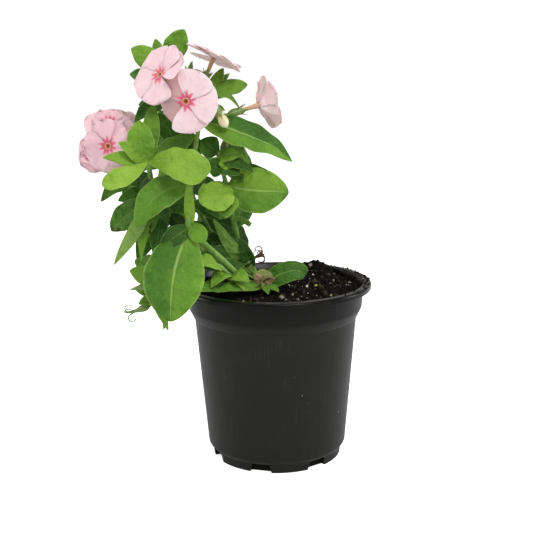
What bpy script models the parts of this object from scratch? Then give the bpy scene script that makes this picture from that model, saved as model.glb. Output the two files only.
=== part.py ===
# A garden phlox in a round nursery pot, with its soil, its leafy stems, its open blooms and a bud.
# Lengths in the tables are millimetres and angles are degrees. The origin is the middle of the
# pot's underside, +Z is up, and the front of the plant looks along -Y.
import math
import random

import bmesh
import bpy
from mathutils import Vector

MM = 0.001
GAP = 0.3  # clearance that neighbouring solids keep

# Pot
POT_HEIGHT = 102.0
LIP_RADIUS = 55.0
LIP_INNER_RADIUS = 50.5
LIP_HEIGHT = 3.8
BAND_RADIUS = 49.6
BAND_BOTTOM = 88.0
BODY_TOP_RADIUS = 46.5
BODY_TOP = 83.0
BODY_FOOT_RADIUS = 40.0
BODY_FOOT = 7.0
FOOT_RADIUS = 37.2
WALL = 1.4
BASE_THICKNESS = 1.6
POT_SIDES = 33
NOTCH_COUNT = 7
NOTCH_FIRST = -105.0  # heading of the notch just left of the front
NOTCH_WIDTH_FOOT = 13.5
NOTCH_WIDTH_TOP = 9.5
NOTCH_HEIGHT = 5.4

# Soil
SOIL_LEVEL = 95.5
SOIL_RINGS = 6
SOIL_SEED = 8
SOIL_ROUGHNESS = 0.9
SOIL_MOUNDS = [  # x, y, height and spread of each
    (24.0, 34.0, 10.5, 9.0),
    (-13.0, 3.0, 2.0, 16.0),
    (-30.0, 24.0, 3.0, 12.0),
    (40.0, 6.0, 2.5, 9.0),
]
HOLE_CLEARANCE = 0.55
HOLE_REACH = 18.0  # how far above the soil a stem still cuts its hole
HOLE_SIDES = 10

# Plant
STEM_SIDES = 6
STUB_RADII = [1.2, 1.5]  # a cut side stem
BLADE = 0.7  # thickness of a leaf
PETAL = 0.65  # thickness of a petal
LEAF_ROWS = (3, 4, 5)  # short, middling and long leaves
LEAF_LENGTHS = (20.0, 36.0)
WIDE_LEAF = 18.0  # a leaf at least this wide has a waved margin
MARGIN_WAVE = 0.05
LEAF_ROOT = 0.7  # half width of a leaf where it leaves the stem
PETAL_ROWS = (0.0, 0.34, 0.66, 0.90, 1.0)  # shares of a petal's length
PETAL_START = 2.1  # distance from the eye's centre to a petal's root
PETAL_WIDTH = 0.60  # half width as a share of the bloom's radius
PETAL_WIDEST = 0.72
PETAL_CLAW = 0.15
PETAL_TURN = 9.0  # each petal turns on its own length, so that one edge lies over its neighbour
BLOOM_SIDES = 10
TUBE_RADIUS = 1.25
TUBE_VISIBLE = 10.0
THROAT_RADIUS = 2.5
THROAT_DEPTH = 3.0
CALYX_LENGTH = 8.0  # from its foot to the notches between its teeth
CALYX_RADIUS = 2.3
CALYX_TOOTH = 4.0
CALYX_FLOOR = 1.4  # height of the floor inside above the calyx's foot
PEDICEL_RADIUS = 0.8


def leaf(at, tip, width, face, arch=0.1, sway=0.0, fold=12, widest=0.45, full=0.75):
    """One leaf: its station on the stem, its tip, the way its upper side looks, how far its midrib
    bows up or sideways as a share of its length, its fold, where it is widest, and its fullness,
    which is smaller for blunter ends."""
    return dict(at=at, tip=tip, width=width, face=face, arch=arch, sway=sway, fold=fold, widest=widest,
                full=full)


def bloom(holder, at, centre, face, radius, spin, lifts, turns=(0, 0, 0, 0, 0)):
    """One flower: its stem, the eye's place, the way it looks, how far each petal lifts, and how far
    each is turned from its even place."""
    return dict(holder=holder, at=at, centre=centre, face=face, radius=radius, spin=spin, lifts=lifts,
                turns=turns)


def bud(holder, at, mouth, face):
    """One closed flower: its stem, the mouth of its calyx and the way that it points."""
    return dict(holder=holder, at=at, mouth=mouth, face=face)


STEMS = {
    "stem_front": dict(
        route=[(-14, -3, 88), (-15, -4, 99), (-28, -14, 116), (-39, -23, 129), (-46, -27, 139),
               (-45, -28, 152), (-45, -25, 165), (-42, -18, 182), (-40, -12, 194), (-38, -10, 204)],
        radius=(2.1, 1.1),
        leaves=[
            leaf(0.49, (-56, -48, 93), 33, (-90, 25), fold=6, widest=0.5, sway=-0.05),
            leaf(0.50, (-37, -38, 133), 10, (-90, 10), widest=0.6),
            leaf(0.66, (-73, -40, 142), 19, (-90, 35), arch=0.12, sway=-0.12),
            leaf(0.49, (-45.5, -34, 167), 6, (-90, 0), arch=0.04, widest=0.35),
            leaf(0.93, (10, -14, 175), 18, (-90, 35), sway=-0.02, fold=15),
            leaf(1.0, (-44, 0, 227), 5.5, (-120, 30), arch=0.15, sway=0.1),
            leaf(0.98, (-27, 3, 223), 8, (-60, 20), arch=0.05),
            leaf(0.97, (-24, 12, 220), 5, (-90, 10)),
            leaf(1.0, (-14, 4, 214), 10, (-90, 30), widest=0.6),
            leaf(0.99, (-18, -10, 201), 8, (-90, 60), arch=0.4, widest=0.4),
            leaf(0.97, (-26, -12, 200), 8, (-90, 60), arch=0.2),
        ],
    ),
    "stem_left": dict(
        route=[(-20, 1, 88), (-21, 0, 99), (-34, -6, 115), (-52, -8, 133), (-62, -14, 149),
               (-66, -22, 163), (-67, -28, 174)],
        radius=(1.8, 1.0),
        leaves=[
            leaf(1.0, (-33, -44, 167), 22, (-90, 30), arch=0.12, sway=0.07, widest=0.68, fold=8, full=0.4),
            leaf(1.0, (-90, -40, 164), 12, (-90, 30), arch=0.12, widest=0.68, sway=0.1, full=0.5),
            leaf(0.99, (-90, -34, 178), 8.5, (-90, 30), arch=0.08),
            leaf(0.99, (-81, -36, 186), 9, (-90, 30), arch=0.05),
            leaf(0.98, (-70, -32, 197), 15, (-90, 0), arch=0.1, sway=0.06, widest=0.55),
            leaf(0.99, (-64, -20, 205), 10, (-90, 10), arch=0.05, widest=0.5),
            leaf(0.96, (-42, -16, 188), 13, (-90, 30)),
            leaf(0.84, (-89, -20, 118), 8, (90, 30), arch=-0.15),
            leaf(0.74, (-75, -22, 127), 9, (-110, 0)),
            leaf(0.80, (-91, -10, 135), 15, (-90, 20), widest=0.6),
            leaf(0.78, (-55, -6, 164), 13, (-90, 20)),
            leaf(0.62, (-68, -14, 144), 13, (-90, 20)),
            leaf(0.70, (-73, -26, 121), 6, (-90, 30), arch=0.12, sway=-0.12),
            leaf(0.86, (-58, -22, 140), 9, (-90, 20)),
            leaf(0.66, (-49, -14, 136), 9, (-90, 20)),
        ],
    ),
    "stem_top": dict(
        route=[(-14, 8, 88), (-16, 9, 99), (-30, 8, 118), (-44, 8, 144), (-52, 6, 171),
               (-59, 6, 202), (-62, 8, 226)],
        radius=(1.8, 1.0),
        leaves=[
            leaf(0.98, (-48, 4, 244), 14, (-90, 10), arch=0.06, sway=-0.04, widest=0.55),
            leaf(0.99, (-65, 12, 239), 7, (-90, 10), arch=0.05),
            leaf(0.97, (-78, 6, 234), 13, (-90, 10), arch=0.06, sway=-0.02, widest=0.5),
            leaf(0.92, (-80, 10, 220), 11, (-90, 30)),
            leaf(0.85, (-75, 6, 203), 10, (-90, -20)),
            leaf(0.86, (-75, -16, 195), 12, (-90, 20), arch=0.12, widest=0.4, fold=25),
            leaf(0.70, (-63, -6, 199), 12, (-90, 10)),
            leaf(0.62, (-39, 14, 182), 12, (-80, 40)),
            leaf(0.50, (-35, 20, 159), 14, (-70, 50)),
            leaf(0.42, (-71, 12, 150), 14, (-100, 40)),
            leaf(0.30, (-40, 22, 131), 12, (-60, 50)),
            leaf(0.26, (-62, 14, 126), 15, (-90, 40), arch=0.15),
            leaf(0.78, (-29, 8, 190), 12, (-80, 50)),
            leaf(0.80, (-72, 20, 188), 12, (-120, 40)),
            leaf(0.84, (-48, 34, 208), 13, (90, 40), arch=0.15),
            leaf(0.66, (-68, 36, 176), 15, (90, 50), arch=0.15),
            leaf(0.55, (-30, 38, 168), 16, (60, 50), arch=0.15),
            leaf(0.93, (-44, 30, 214), 11, (70, 50), arch=0.15),
            leaf(0.72, (-38, 0, 178), 11, (-90, 20)),
            leaf(0.56, (-58, -2, 142), 12, (-90, 20)),
            leaf(0.36, (-50, -4, 126), 13, (-90, 20)),
            leaf(0.50, (-38, -4, 164), 12, (-90, 20)),
        ],
    ),
    "stem_right": dict(
        route=[(-8, 3, 88), (-8, 3, 99), (-18, 4, 117), (-23, 0, 135), (-26, -8, 152),
               (-27, -12, 162), (-29, -10, 170), (-30, -8, 178)],
        radius=(1.7, 1.0),
        leaves=[
            leaf(0.81, (-35, -34, 150), 20, (-90, 20), arch=0.05, widest=0.6, full=0.5),
            leaf(0.75, (-26, -28, 144), 14, (-90, 30), widest=0.6),
            leaf(0.79, (8, -16, 156), 26, (-90, 20), arch=0.06, sway=-0.05),
            leaf(0.98, (-15, -18, 167), 14, (-100, 40)),
            leaf(0.99, (-12, -6, 169), 12, (-90, 50), arch=0.2),
            leaf(0.99, (-40, -8, 184), 13, (-90, 20), sway=0.05),
            leaf(0.18, (-34, -14, 142), 8, (90, 20), arch=0.0, sway=-0.04, widest=0.4),
            leaf(0.27, (-25, 8, 141), 12, (-60, 20), sway=0.08),
            leaf(0.34, (-38, 3, 129), 16, (-80, 20)),
            leaf(0.48, (-39, -2, 141), 14, (-90, 20)),
            leaf(0.50, (-20, 32, 142), 14, (30, 60), arch=0.15),
            leaf(0.72, (-9, 22, 160), 13, (40, 60), arch=0.12),
            leaf(0.90, (-18, 12, 184), 12, (60, 40)),
            leaf(0.94, (-11, -24, 168), 8, (-90, 50), arch=0.1),
            leaf(0.96, (-17, -18, 177), 8, (-90, 30), arch=0.05),
            leaf(0.90, (5, -6, 158), 13, (-90, 20), arch=0.06),
            leaf(0.22, (-20, -6, 129), 8, (-90, 20)),
            leaf(0.30, (-32, -4, 118), 12, (-90, 20)),
        ],
        stub=(0.56, (-13.5, -2, 135)),
    ),
    "stem_low": dict(
        route=[(-20, -6, 88), (-22, -8, 99), (-29, -18, 113), (-41, -26, 119), (-54, -22, 118),
               (-66, -14, 109), (-69, -10, 95)],
        radius=(1.6, 1.0),
        leaves=[
            leaf(0.86, (-81, -16, 113), 11, (-90, 10)),
            leaf(0.36, (-41, -34, 120), 11, (-90, 45), arch=0.15),
            leaf(0.24, (-35, -30, 106), 8, (-90, 60), arch=0.4),
            leaf(0.13, (-41, -33, 105), 11, (-90, 45), arch=0.06, sway=-0.04),
            leaf(0.98, (-80, -8, 101), 4.5, (-90, 10)),
            leaf(0.99, (-77, -14, 93), 6, (-90, 10)),
            leaf(0.99, (-64, -10, 77), 5, (-90, 10), sway=0.2),
            leaf(0.95, (-60, -22, 80), 6, (-90, 10)),
            leaf(0.62, (-62, 2, 126), 13, (-120, 50)),
            leaf(0.80, (-80, 2, 116), 11, (-140, 50)),
        ],
    ),
    "stem_back": dict(
        route=[(-22, 12, 88), (-24, 13, 99), (-33, 20, 116), (-51, 28, 133), (-67, 28, 150),
               (-81, 24, 164)],
        radius=(1.7, 1.0),
        leaves=[
            leaf(0.90, (-99, 8, 149), 13, (-100, 30), arch=0.2, sway=-0.08),
            leaf(0.95, (-86, 2, 152), 9, (-90, 10)),
            leaf(0.74, (-79, 4, 114), 16, (-100, 0), arch=0.12),
            leaf(0.45, (-32, 54, 138), 16, (60, 60), arch=0.15),
            leaf(0.62, (-72, 58, 138), 16, (100, 50), arch=0.15),
            leaf(0.78, (-58, 50, 172), 13, (80, 60)),
            leaf(0.98, (-102, 38, 172), 12, (130, 50)),
            leaf(0.97, (-70, 22, 186), 11, (-60, 20)),
            leaf(0.30, (-62, 40, 106), 15, (110, 40), arch=0.2),
        ],
    ),
    "branch_left": dict(
        holder="stem_left",
        route=[(-62, -14, 150), (-72, -8, 158), (-80, -3, 166), (-83, 0, 172)],
        radius=(1.3, 1.2),
        leaves=[
            leaf(0.45, (-91, -16, 168), 9, (-90, 30), arch=0.2),
            leaf(0.30, (-86, -14, 152), 9, (-90, 20)),
        ],
    ),
    "basal_tuft": dict(
        route=[(-6, -5, 88), (-6, -5, 98), (-7, -5.5, 100), (-8, -6, 102.5)],
        radius=(1.8, 1.2),
        leaves=[
            leaf(0.92, (-5, -5, 110), 9, (-90, 15), widest=0.6),
            leaf(0.86, (17.5, -6, 110), 14, (-90, 40), arch=0.18, sway=0.08, widest=0.6, full=0.5),
            leaf(0.82, (2, -16, 99.5), 6, (-90, 60)),
            leaf(0.82, (-4, -19, 99), 5, (-90, 60)),
            leaf(0.95, (-12, -9, 108.5), 5, (-90, 20)),
            leaf(0.90, (0, -9, 106), 5, (-90, 20)),
        ],
    ),
}

BLOOMS = {
    "bloom_front": bloom("stem_front", 0.98, (-45.5, -34, 206), (-95, 2), 17.5, 65, (0, 0, 0, -28, -22)),
    "bloom_upper_left": bloom("stem_top", 0.88, (-59.5, -24, 219.5), (-132, 36), 17, 58, (16, 10, -8, 5, 14),
                              (12, 40, 4, 0, 0)),
    "bloom_top": bloom("stem_front", 1.0, (-32, -5, 228), (25, 65), 16, 0, (2, 6, 0, 4, 8)),
    "bloom_right": bloom("stem_front", 0.97, (-8, -5, 202), (27, 12), 16.5, 90, (24, 26, 22, 26, 24)),
    "bloom_head_front": bloom("branch_left", 1.0, (-88.5, -24, 182.5), (-112, 4), 14.5, 40, (0, 5, 0, 5, 0)),
    "bloom_head_top": bloom("branch_left", 1.0, (-91, -2, 192.5), (-80, 58), 13.5, 20, (0, 4, 0, 4, 0)),
    "bloom_head_left": bloom("branch_left", 0.98, (-98, -16, 178), (-118, 8), 10.5, 4, (0, 4, 0, 4, 0)),
    "bloom_head_back": bloom("branch_left", 0.98, (-91, 26, 187), (115, 30), 14.5, 10, (0, 4, 0, 4, 0)),
}

CREAM_BUD = bud("stem_front", 0.96, (-29, -22, 199), (0, -62))

CALYCES = [  # spent or unopened, all green
    bud("stem_front", 0.99, (-47, 0, 220), (150, 75)),
    bud("stem_right", 0.99, (-26, -2, 184), (30, 70)),
    bud("stem_right", 0.14, (-12, 0, 115.5), (0, 25)),
    bud("stem_low", 0.97, (-79, -10, 88), (180, -20)),
    bud("stem_low", 0.80, (-78, -14, 102), (190, -10)),
]


def clear_scene():
    for obj in list(bpy.data.objects):
        bpy.data.objects.remove(obj, do_unlink=True)


def make_material(name, colour, roughness):
    mat = bpy.data.materials.new(name)
    mat.use_nodes = True
    shader = mat.node_tree.nodes["Principled BSDF"]
    shader.inputs["Base Color"].default_value = (*colour, 1.0)
    shader.inputs["Roughness"].default_value = roughness
    shader.inputs["Metallic"].default_value = 0.0
    return mat


def make_object(name, points, faces, mat):
    """An object from points in millimetres."""
    mesh = bpy.data.meshes.new(name)
    mesh.from_pydata([Vector(p) * MM for p in points], [], faces)
    shape = bmesh.new()
    shape.from_mesh(mesh)
    bmesh.ops.recalc_face_normals(shape, faces=shape.faces)
    shape.to_mesh(mesh)
    shape.free()
    mesh.materials.append(mat)
    obj = bpy.data.objects.new(name, mesh)
    bpy.context.scene.collection.objects.link(obj)
    return obj


def smooth_shade(obj, angle=40):
    obj.data.shade_smooth()
    obj.data.set_sharp_from_angle(angle=math.radians(angle))


def modified(obj, modifier_name, modifier_type, **settings):
    """Adds a modifier, applies it and returns the object with its new mesh."""
    modifier = obj.modifiers.new(modifier_name, modifier_type)
    for key, value in settings.items():
        setattr(modifier, key, value)
    bpy.context.view_layer.update()
    depsgraph = bpy.context.evaluated_depsgraph_get()
    mesh = bpy.data.meshes.new_from_object(obj.evaluated_get(depsgraph))
    obj.modifiers.remove(modifier)
    old = obj.data
    obj.data = mesh
    bpy.data.meshes.remove(old)
    mesh.name = obj.name
    return obj


def joined(obj, others, operation):
    """Unites the objects in others with obj, or cuts them from it, and removes them."""
    group = bpy.data.collections.new("operands")
    bpy.context.scene.collection.children.link(group)
    for other in others:
        group.objects.link(other)
        bpy.context.scene.collection.objects.unlink(other)
    modified(obj, operation.lower(), "BOOLEAN", operand_type="COLLECTION", collection=group,
             operation=operation, solver="EXACT")
    for other in others:
        bpy.data.objects.remove(other, do_unlink=True)
    bpy.data.collections.remove(group)
    return obj


def direction(heading, rise):
    h, r = math.radians(heading), math.radians(rise)
    return Vector((math.cos(r) * math.cos(h), math.cos(r) * math.sin(h), math.sin(r)))


def across(vector, axis):
    """The part of vector that is square to axis, as a unit vector."""
    return (vector - axis * vector.dot(axis)).normalized()


def smooth_route(route, steps=6):
    """A smooth curve through the route's points, with some steps between each pair."""
    points = [Vector(p) for p in route]
    points = [points[0] * 2 - points[1]] + points + [points[-1] * 2 - points[-2]]
    curve = []
    for a, b, c, d in zip(points, points[1:], points[2:], points[3:]):
        for i in range(steps):
            t = i / steps
            curve.append((b * 2 + (c - a) * t + (a * 2 - b * 5 + c * 4 - d) * t ** 2
                          + (b * 3 - a - c * 3 + d) * t ** 3) / 2)
    curve.append(points[-2])
    return curve


def even_points(curve, count):
    """The curve again, as count points an equal length apart."""
    lengths = [0.0]
    for a, b in zip(curve, curve[1:]):
        lengths.append(lengths[-1] + (b - a).length)
    result = []
    k = 0
    for i in range(count):
        want = lengths[-1] * i / (count - 1)
        while k < len(curve) - 2 and lengths[k + 1] < want:
            k += 1
        t = (want - lengths[k]) / (lengths[k + 1] - lengths[k])
        result.append(curve[k].lerp(curve[k + 1], t))
    return result


def station(points, at):
    k = min(at, 1.0) * (len(points) - 1)
    i = min(int(k), len(points) - 2)
    return points[i].lerp(points[i + 1], k - i)


def loft(rings):
    """Points and faces of a closed skin over rings that each have the same number of points."""
    count = len(rings[0])
    points = [p for ring in rings for p in ring]
    faces = []
    for r in range(len(rings) - 1):
        for i in range(count):
            j = (i + 1) % count
            faces.append((r * count + i, r * count + j, (r + 1) * count + j, (r + 1) * count + i))
    last = (len(rings) - 1) * count
    faces.append(tuple(reversed(range(count))))
    faces.append(tuple(range(last, last + count)))
    return points, faces


def tube(points, radii, sides):
    """A round stem along points, with the radius given at each of them."""
    rings = []
    side = Vector((1, 0, 0))
    for i, point in enumerate(points):
        ahead = (points[min(i + 1, len(points) - 1)] - points[max(i - 1, 0)]).normalized()
        side = across(side, ahead)
        up = ahead.cross(side)
        ring = []
        for k in range(sides):
            a = math.tau * k / sides
            ring.append(point + (side * math.cos(a) + up * math.sin(a)) * radii[i])
        rings.append(ring)
    return loft(rings)


def turned(profile, sides):
    """A profile of (radius, height) pairs turned about Z, ending on the axis at both ends."""
    points, faces = [], []
    rings = []
    for radius, height in profile:
        if radius == 0:
            rings.append([len(points)])
            points.append((0, 0, height))
            continue
        rings.append(list(range(len(points), len(points) + sides)))
        for k in range(sides):
            a = math.tau * k / sides
            points.append((radius * math.cos(a), radius * math.sin(a), height))
    for low, high in zip(rings, rings[1:]):
        for k in range(sides):
            j = (k + 1) % sides
            if len(low) == 1:
                faces.append((low[0], high[j], high[k]))
            elif len(high) == 1:
                faces.append((low[k], low[j], high[0]))
            else:
                faces.append((low[k], low[j], high[j], high[k]))
    return points, faces


def leaf_width(u, width, widest, full):
    """Half width of a leaf at share u of its length."""
    power = math.log(0.5) / math.log(widest)
    return max(width / 2 * abs(math.sin(math.pi * u ** power)) ** full, LEAF_ROOT * (1 - u))


def blade(centres, normals, half_widths, fold, thickness, columns, wave=0.0):
    """A thin solid leaf or petal along its midrib. Both faces are split alike into triangles."""
    top, bottom = [], []
    last = len(centres) - 1
    for i, centre in enumerate(centres):
        ahead = (centres[min(i + 1, last)] - centres[max(i - 1, 0)]).normalized()
        normal = across(normals[i], ahead)
        side = normal.cross(ahead)
        if i == last:
            row = [centre]
        else:
            row = []
            for k in range(columns):
                s = 1 - 2 * k / (columns - 1)
                ripple = wave * half_widths[i] * s * s * math.sin(i * 2.4 + s)
                rise = abs(s) * half_widths[i] * math.sin(math.radians(fold)) + ripple
                reach = s * half_widths[i] * math.cos(math.radians(fold))
                row.append(centre + side * reach + normal * rise)
        top.append([p + normal * thickness / 2 for p in row])
        bottom.append([p - normal * thickness / 2 for p in row])
    points = [p for row in top + bottom for p in row]
    size = last * columns + 1
    faces = []

    def both(a, b, c):
        faces.append((a, b, c))
        faces.append((c + size, b + size, a + size))

    for i in range(last):
        near, far = i * columns, (i + 1) * columns
        for k in range(columns - 1):
            if i == last - 1:
                both(near + k, near + k + 1, far)
            elif k < (columns - 1) / 2:
                both(near + k, near + k + 1, far + k + 1)
                both(near + k, far + k + 1, far + k)
            else:
                both(near + k, near + k + 1, far + k)
                both(near + k + 1, far + k + 1, far + k)
    rim = [i * columns for i in range(last)] + [last * columns]
    rim += [i * columns + columns - 1 for i in reversed(range(last))]
    rim += list(reversed(range(1, columns - 1)))
    for a, b in zip(rim, rim[1:] + rim[:1]):
        faces.append((b, a, a + size))
        faces.append((b, a + size, b + size))
    return points, faces


def leaf_blade(base, item):
    tip = Vector(item["tip"])
    chord = tip - base
    ahead = chord.normalized()
    up = across(direction(*item["face"]), ahead)
    side = up.cross(ahead)
    centres, normals, widths = [], [], []
    rows = LEAF_ROWS[sum(chord.length > limit for limit in LEAF_LENGTHS)]
    for i in range(rows + 1):
        u = i / rows
        bow = math.sin(math.pi * u) * chord.length
        centres.append(base + chord * u + up * item["arch"] * bow + side * item["sway"] * bow)
        normals.append(up)
        widths.append(leaf_width(u, item["width"], item["widest"], item["full"]))
    wide = item["width"] >= WIDE_LEAF
    return blade(centres, normals, widths, item["fold"], BLADE, 5 if wide else 3,
                 MARGIN_WAVE if wide else 0.0)


def bloom_frame(item):
    """The bloom's forward, right and up directions."""
    ahead = direction(*item["face"])
    side = Vector((0, 0, 1)).cross(ahead).normalized()
    return ahead, side, ahead.cross(side)


def placed(points, origin, ahead, side, up):
    """Points turned about Z, set with their Z along ahead."""
    return [origin + side * p[0] + up * p[1] + ahead * p[2] for p in points]


def petal_blade(item, k):
    ahead, side, up = bloom_frame(item)
    angle = math.radians(item["spin"] - 72 * k + item["turns"][k])
    out = side * math.cos(angle) + up * math.sin(angle)
    edge = ahead.cross(out)
    lift = math.radians(item["lifts"][k])
    centres, normals, widths = [], [], []
    for u in PETAL_ROWS:
        far = PETAL_START + (item["radius"] - PETAL_START) * u
        bend = lift * min(1.0, u / 0.3)
        centres.append(Vector(item["centre"]) + out * far * math.cos(bend) + ahead * far * math.sin(bend))
        turn = math.radians(PETAL_TURN)
        flat = ahead * math.cos(bend) - out * math.sin(bend)
        normals.append(flat * math.cos(turn) + edge * math.sin(turn))
        if u < PETAL_WIDEST:
            share = PETAL_CLAW + (1 - PETAL_CLAW) * math.sin(math.pi / 2 * u / PETAL_WIDEST)
        else:
            share = math.sqrt(max(0.0, 1 - ((u - PETAL_WIDEST) / (1 - PETAL_WIDEST)) ** 2))
        widths.append(share * item["radius"] * PETAL_WIDTH)
    return blade(centres, normals, widths, -4, PETAL, 3)


def corolla_tube(item):
    """The narrow tube behind the petals, with the small pit of the throat in its face."""
    ahead, side, up = bloom_frame(item)
    end = -TUBE_VISIBLE - CALYX_LENGTH + CALYX_FLOOR + GAP
    profile = [(0, end), (TUBE_RADIUS, end), (TUBE_RADIUS, -3.0), (THROAT_RADIUS, -0.5),
               (THROAT_RADIUS, 0.5), (TUBE_RADIUS, 0.5), (TUBE_RADIUS * 0.7, -THROAT_DEPTH),
               (0, -THROAT_DEPTH)]
    points, faces = turned(profile, BLOOM_SIDES)
    return placed(points, Vector(item["centre"]), ahead, side, up), faces


def calyx_cup(mouth, ahead, is_open):
    """A green cup with five pointed teeth round the corolla's tube, or closed over a bud."""
    side = across(Vector((0, 0.3, 1)), ahead)
    up = ahead.cross(side)
    inner = TUBE_RADIUS + GAP
    low = -CALYX_LENGTH
    if is_open:
        rings = [(CALYX_RADIUS - 0.3, low, 0), (CALYX_RADIUS, -1.2, CALYX_TOOTH),
                 (inner, -1.4, CALYX_TOOTH), (inner, low + CALYX_FLOOR, 0)]
        sides = BLOOM_SIDES
    else:
        rings = [(1.0, low, 0), (2.0, low * 0.6, 0), (1.7, -1.0, 0), (0.3, CALYX_TOOTH, 0)]
        sides = BLOOM_SIDES // 2
    skin = []
    for radius, height, tooth in rings:
        ring = []
        for k in range(sides):
            a = math.tau * k / sides
            reach = tooth * (k % 2)
            wide = radius + reach * 0.25
            ring.append((wide * math.cos(a), wide * math.sin(a), height + reach))
        skin.append(ring)
    points, faces = loft(skin)
    return placed(points, mouth, ahead, side, up), faces


def pedicel(start, end, ahead):
    """The slender stalk from the stem to a calyx, arriving along the calyx's own axis."""
    length = (end - start).length
    bend = end - ahead * length * 0.4
    curve = []
    for i in range(4):
        t = i / 3
        curve.append(start * (1 - t) ** 2 + bend * 2 * t * (1 - t) + end * t * t)
    return tube(curve, [PEDICEL_RADIUS] * len(curve), 5)


def stem_points(spec):
    return even_points(smooth_route(spec["route"]), 2 * len(spec["route"]) + 1)


def stem_pieces(name, spec, mat):
    """A stem with its leaves, calyces and pedicels, as separate objects that overlap."""
    points = stem_points(spec)
    thick, thin = spec["radius"]
    radii = [thick + (thin - thick) * i / (len(points) - 1) for i in range(len(points))]
    pieces = [make_object(name, *tube(points, radii, STEM_SIDES), mat)]
    for item in spec["leaves"]:
        pieces.append(make_object("leaf", *leaf_blade(station(points, item["at"]), item), mat))
    if "stub" in spec:
        at, end = spec["stub"]
        route = [station(points, at), Vector(end)]
        pieces.append(make_object("stub", *tube(route, STUB_RADII, STEM_SIDES), mat))
    stalks = []
    for item in BLOOMS.values():
        ahead = direction(*item["face"])
        stalks.append((item, Vector(item["centre"]) - ahead * TUBE_VISIBLE, True))
    stalks.append((CREAM_BUD, Vector(CREAM_BUD["mouth"]), True))
    stalks += [(item, Vector(item["mouth"]), False) for item in CALYCES]
    for item, mouth, is_open in stalks:
        if item["holder"] == name:
            ahead = direction(*item["face"])
            pieces.append(make_object("calyx", *calyx_cup(mouth, ahead, is_open), mat))
            foot = mouth - ahead * (CALYX_LENGTH - 0.5)
            pieces.append(make_object("pedicel", *pedicel(station(points, item["at"]), foot, ahead), mat))
    return pieces


def build_stem(name, mat):
    pieces = stem_pieces(name, STEMS[name], mat)
    for other, spec in STEMS.items():
        if spec.get("holder") == name:
            pieces += stem_pieces(other, spec, mat)
    return joined(pieces[0], pieces[1:], "UNION")


def build_cream_bud(mat):
    """The closed corolla, its foot standing in its calyx."""
    ahead = direction(*CREAM_BUD["face"])
    side = across(Vector((0, 0.3, 1)), ahead)
    profile = [(0, -CALYX_LENGTH + CALYX_FLOOR + GAP), (TUBE_RADIUS, -CALYX_LENGTH + CALYX_FLOOR + GAP),
               (TUBE_RADIUS, 0.4), (1.9, 2.3), (2.5, 4.5), (2.4, 6.0), (1.3, 8.0), (0, 8.7)]
    points, faces = turned(profile, BLOOM_SIDES)
    points = placed(points, Vector(CREAM_BUD["mouth"]), ahead, side, ahead.cross(side))
    return make_object("cream_bud", points, faces, mat)


def build_bloom(name, item, mat):
    corolla = make_object(name, *corolla_tube(item), mat)
    petals = [make_object(f"{name}_petal_{k}", *petal_blade(item, k), mat) for k in range(5)]
    return joined(corolla, petals, "UNION")


def build_pot(mat):
    profile = [
        (0, 0), (FOOT_RADIUS, 0), (FOOT_RADIUS + 0.4, BODY_FOOT - 2.2), (BODY_FOOT_RADIUS, BODY_FOOT + 0.5),
        (BODY_TOP_RADIUS, BODY_TOP - 0.8), (BODY_TOP_RADIUS + 0.7, BODY_TOP),
        (BAND_RADIUS - 0.4, BAND_BOTTOM - 0.8), (BAND_RADIUS, BAND_BOTTOM),
        (BAND_RADIUS + 1.0, POT_HEIGHT - LIP_HEIGHT), (LIP_RADIUS, POT_HEIGHT - LIP_HEIGHT + 0.4),
        (LIP_RADIUS, POT_HEIGHT - 0.8), (LIP_RADIUS - 0.9, POT_HEIGHT),
        (LIP_INNER_RADIUS, POT_HEIGHT), (BAND_RADIUS - WALL + 0.5, POT_HEIGHT - 4.0),
        (BAND_RADIUS - WALL, BAND_BOTTOM), (BODY_TOP_RADIUS - WALL, BODY_TOP),
        (BODY_FOOT_RADIUS - WALL, BODY_FOOT + 1.5), (FOOT_RADIUS - WALL, BASE_THICKNESS),
        (0, BASE_THICKNESS),
    ]
    pot = make_object("pot", *turned(profile, POT_SIDES), mat)
    cutters = []
    for k in range(NOTCH_COUNT):
        ahead = direction(NOTCH_FIRST + 360 * k / NOTCH_COUNT, 0)
        side = Vector((0, 0, 1)).cross(ahead)
        rings = []
        for far in (FOOT_RADIUS - 4.0, BODY_FOOT_RADIUS + 4.0):
            ring = []
            for half, height in ((NOTCH_WIDTH_FOOT / 2 + 1, -1.0), (NOTCH_WIDTH_TOP / 2, NOTCH_HEIGHT),
                                 (-NOTCH_WIDTH_TOP / 2, NOTCH_HEIGHT), (-NOTCH_WIDTH_FOOT / 2 - 1, -1.0)):
                ring.append(ahead * far - side * half + Vector((0, 0, height)))
            rings.append(ring)
        cutters.append(make_object("notch", *loft(rings), mat))
    joined(pot, cutters, "DIFFERENCE")
    smooth_shade(pot, 30)
    return pot


def soil_height(x, y, rng):
    height = SOIL_LEVEL + rng.uniform(-SOIL_ROUGHNESS, SOIL_ROUGHNESS)
    for mx, my, tall, spread in SOIL_MOUNDS:
        height += tall * math.exp(-((x - mx) ** 2 + (y - my) ** 2) / (2 * spread ** 2))
    return height


def wall_radius(height):
    """Inner radius of the pot at a height above its base."""
    low, high = BODY_FOOT + 1.5, BODY_TOP
    if height < low:
        share = (height - BASE_THICKNESS) / (low - BASE_THICKNESS)
        return FOOT_RADIUS - WALL + (BODY_FOOT_RADIUS - FOOT_RADIUS) * share
    if height < high:
        return BODY_FOOT_RADIUS - WALL + (BODY_TOP_RADIUS - BODY_FOOT_RADIUS) * (height - low) / (high - low)
    share = min(1.0, (height - high) / (BAND_BOTTOM - high))
    return BODY_TOP_RADIUS - WALL + (BAND_RADIUS - BODY_TOP_RADIUS) * share


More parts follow.
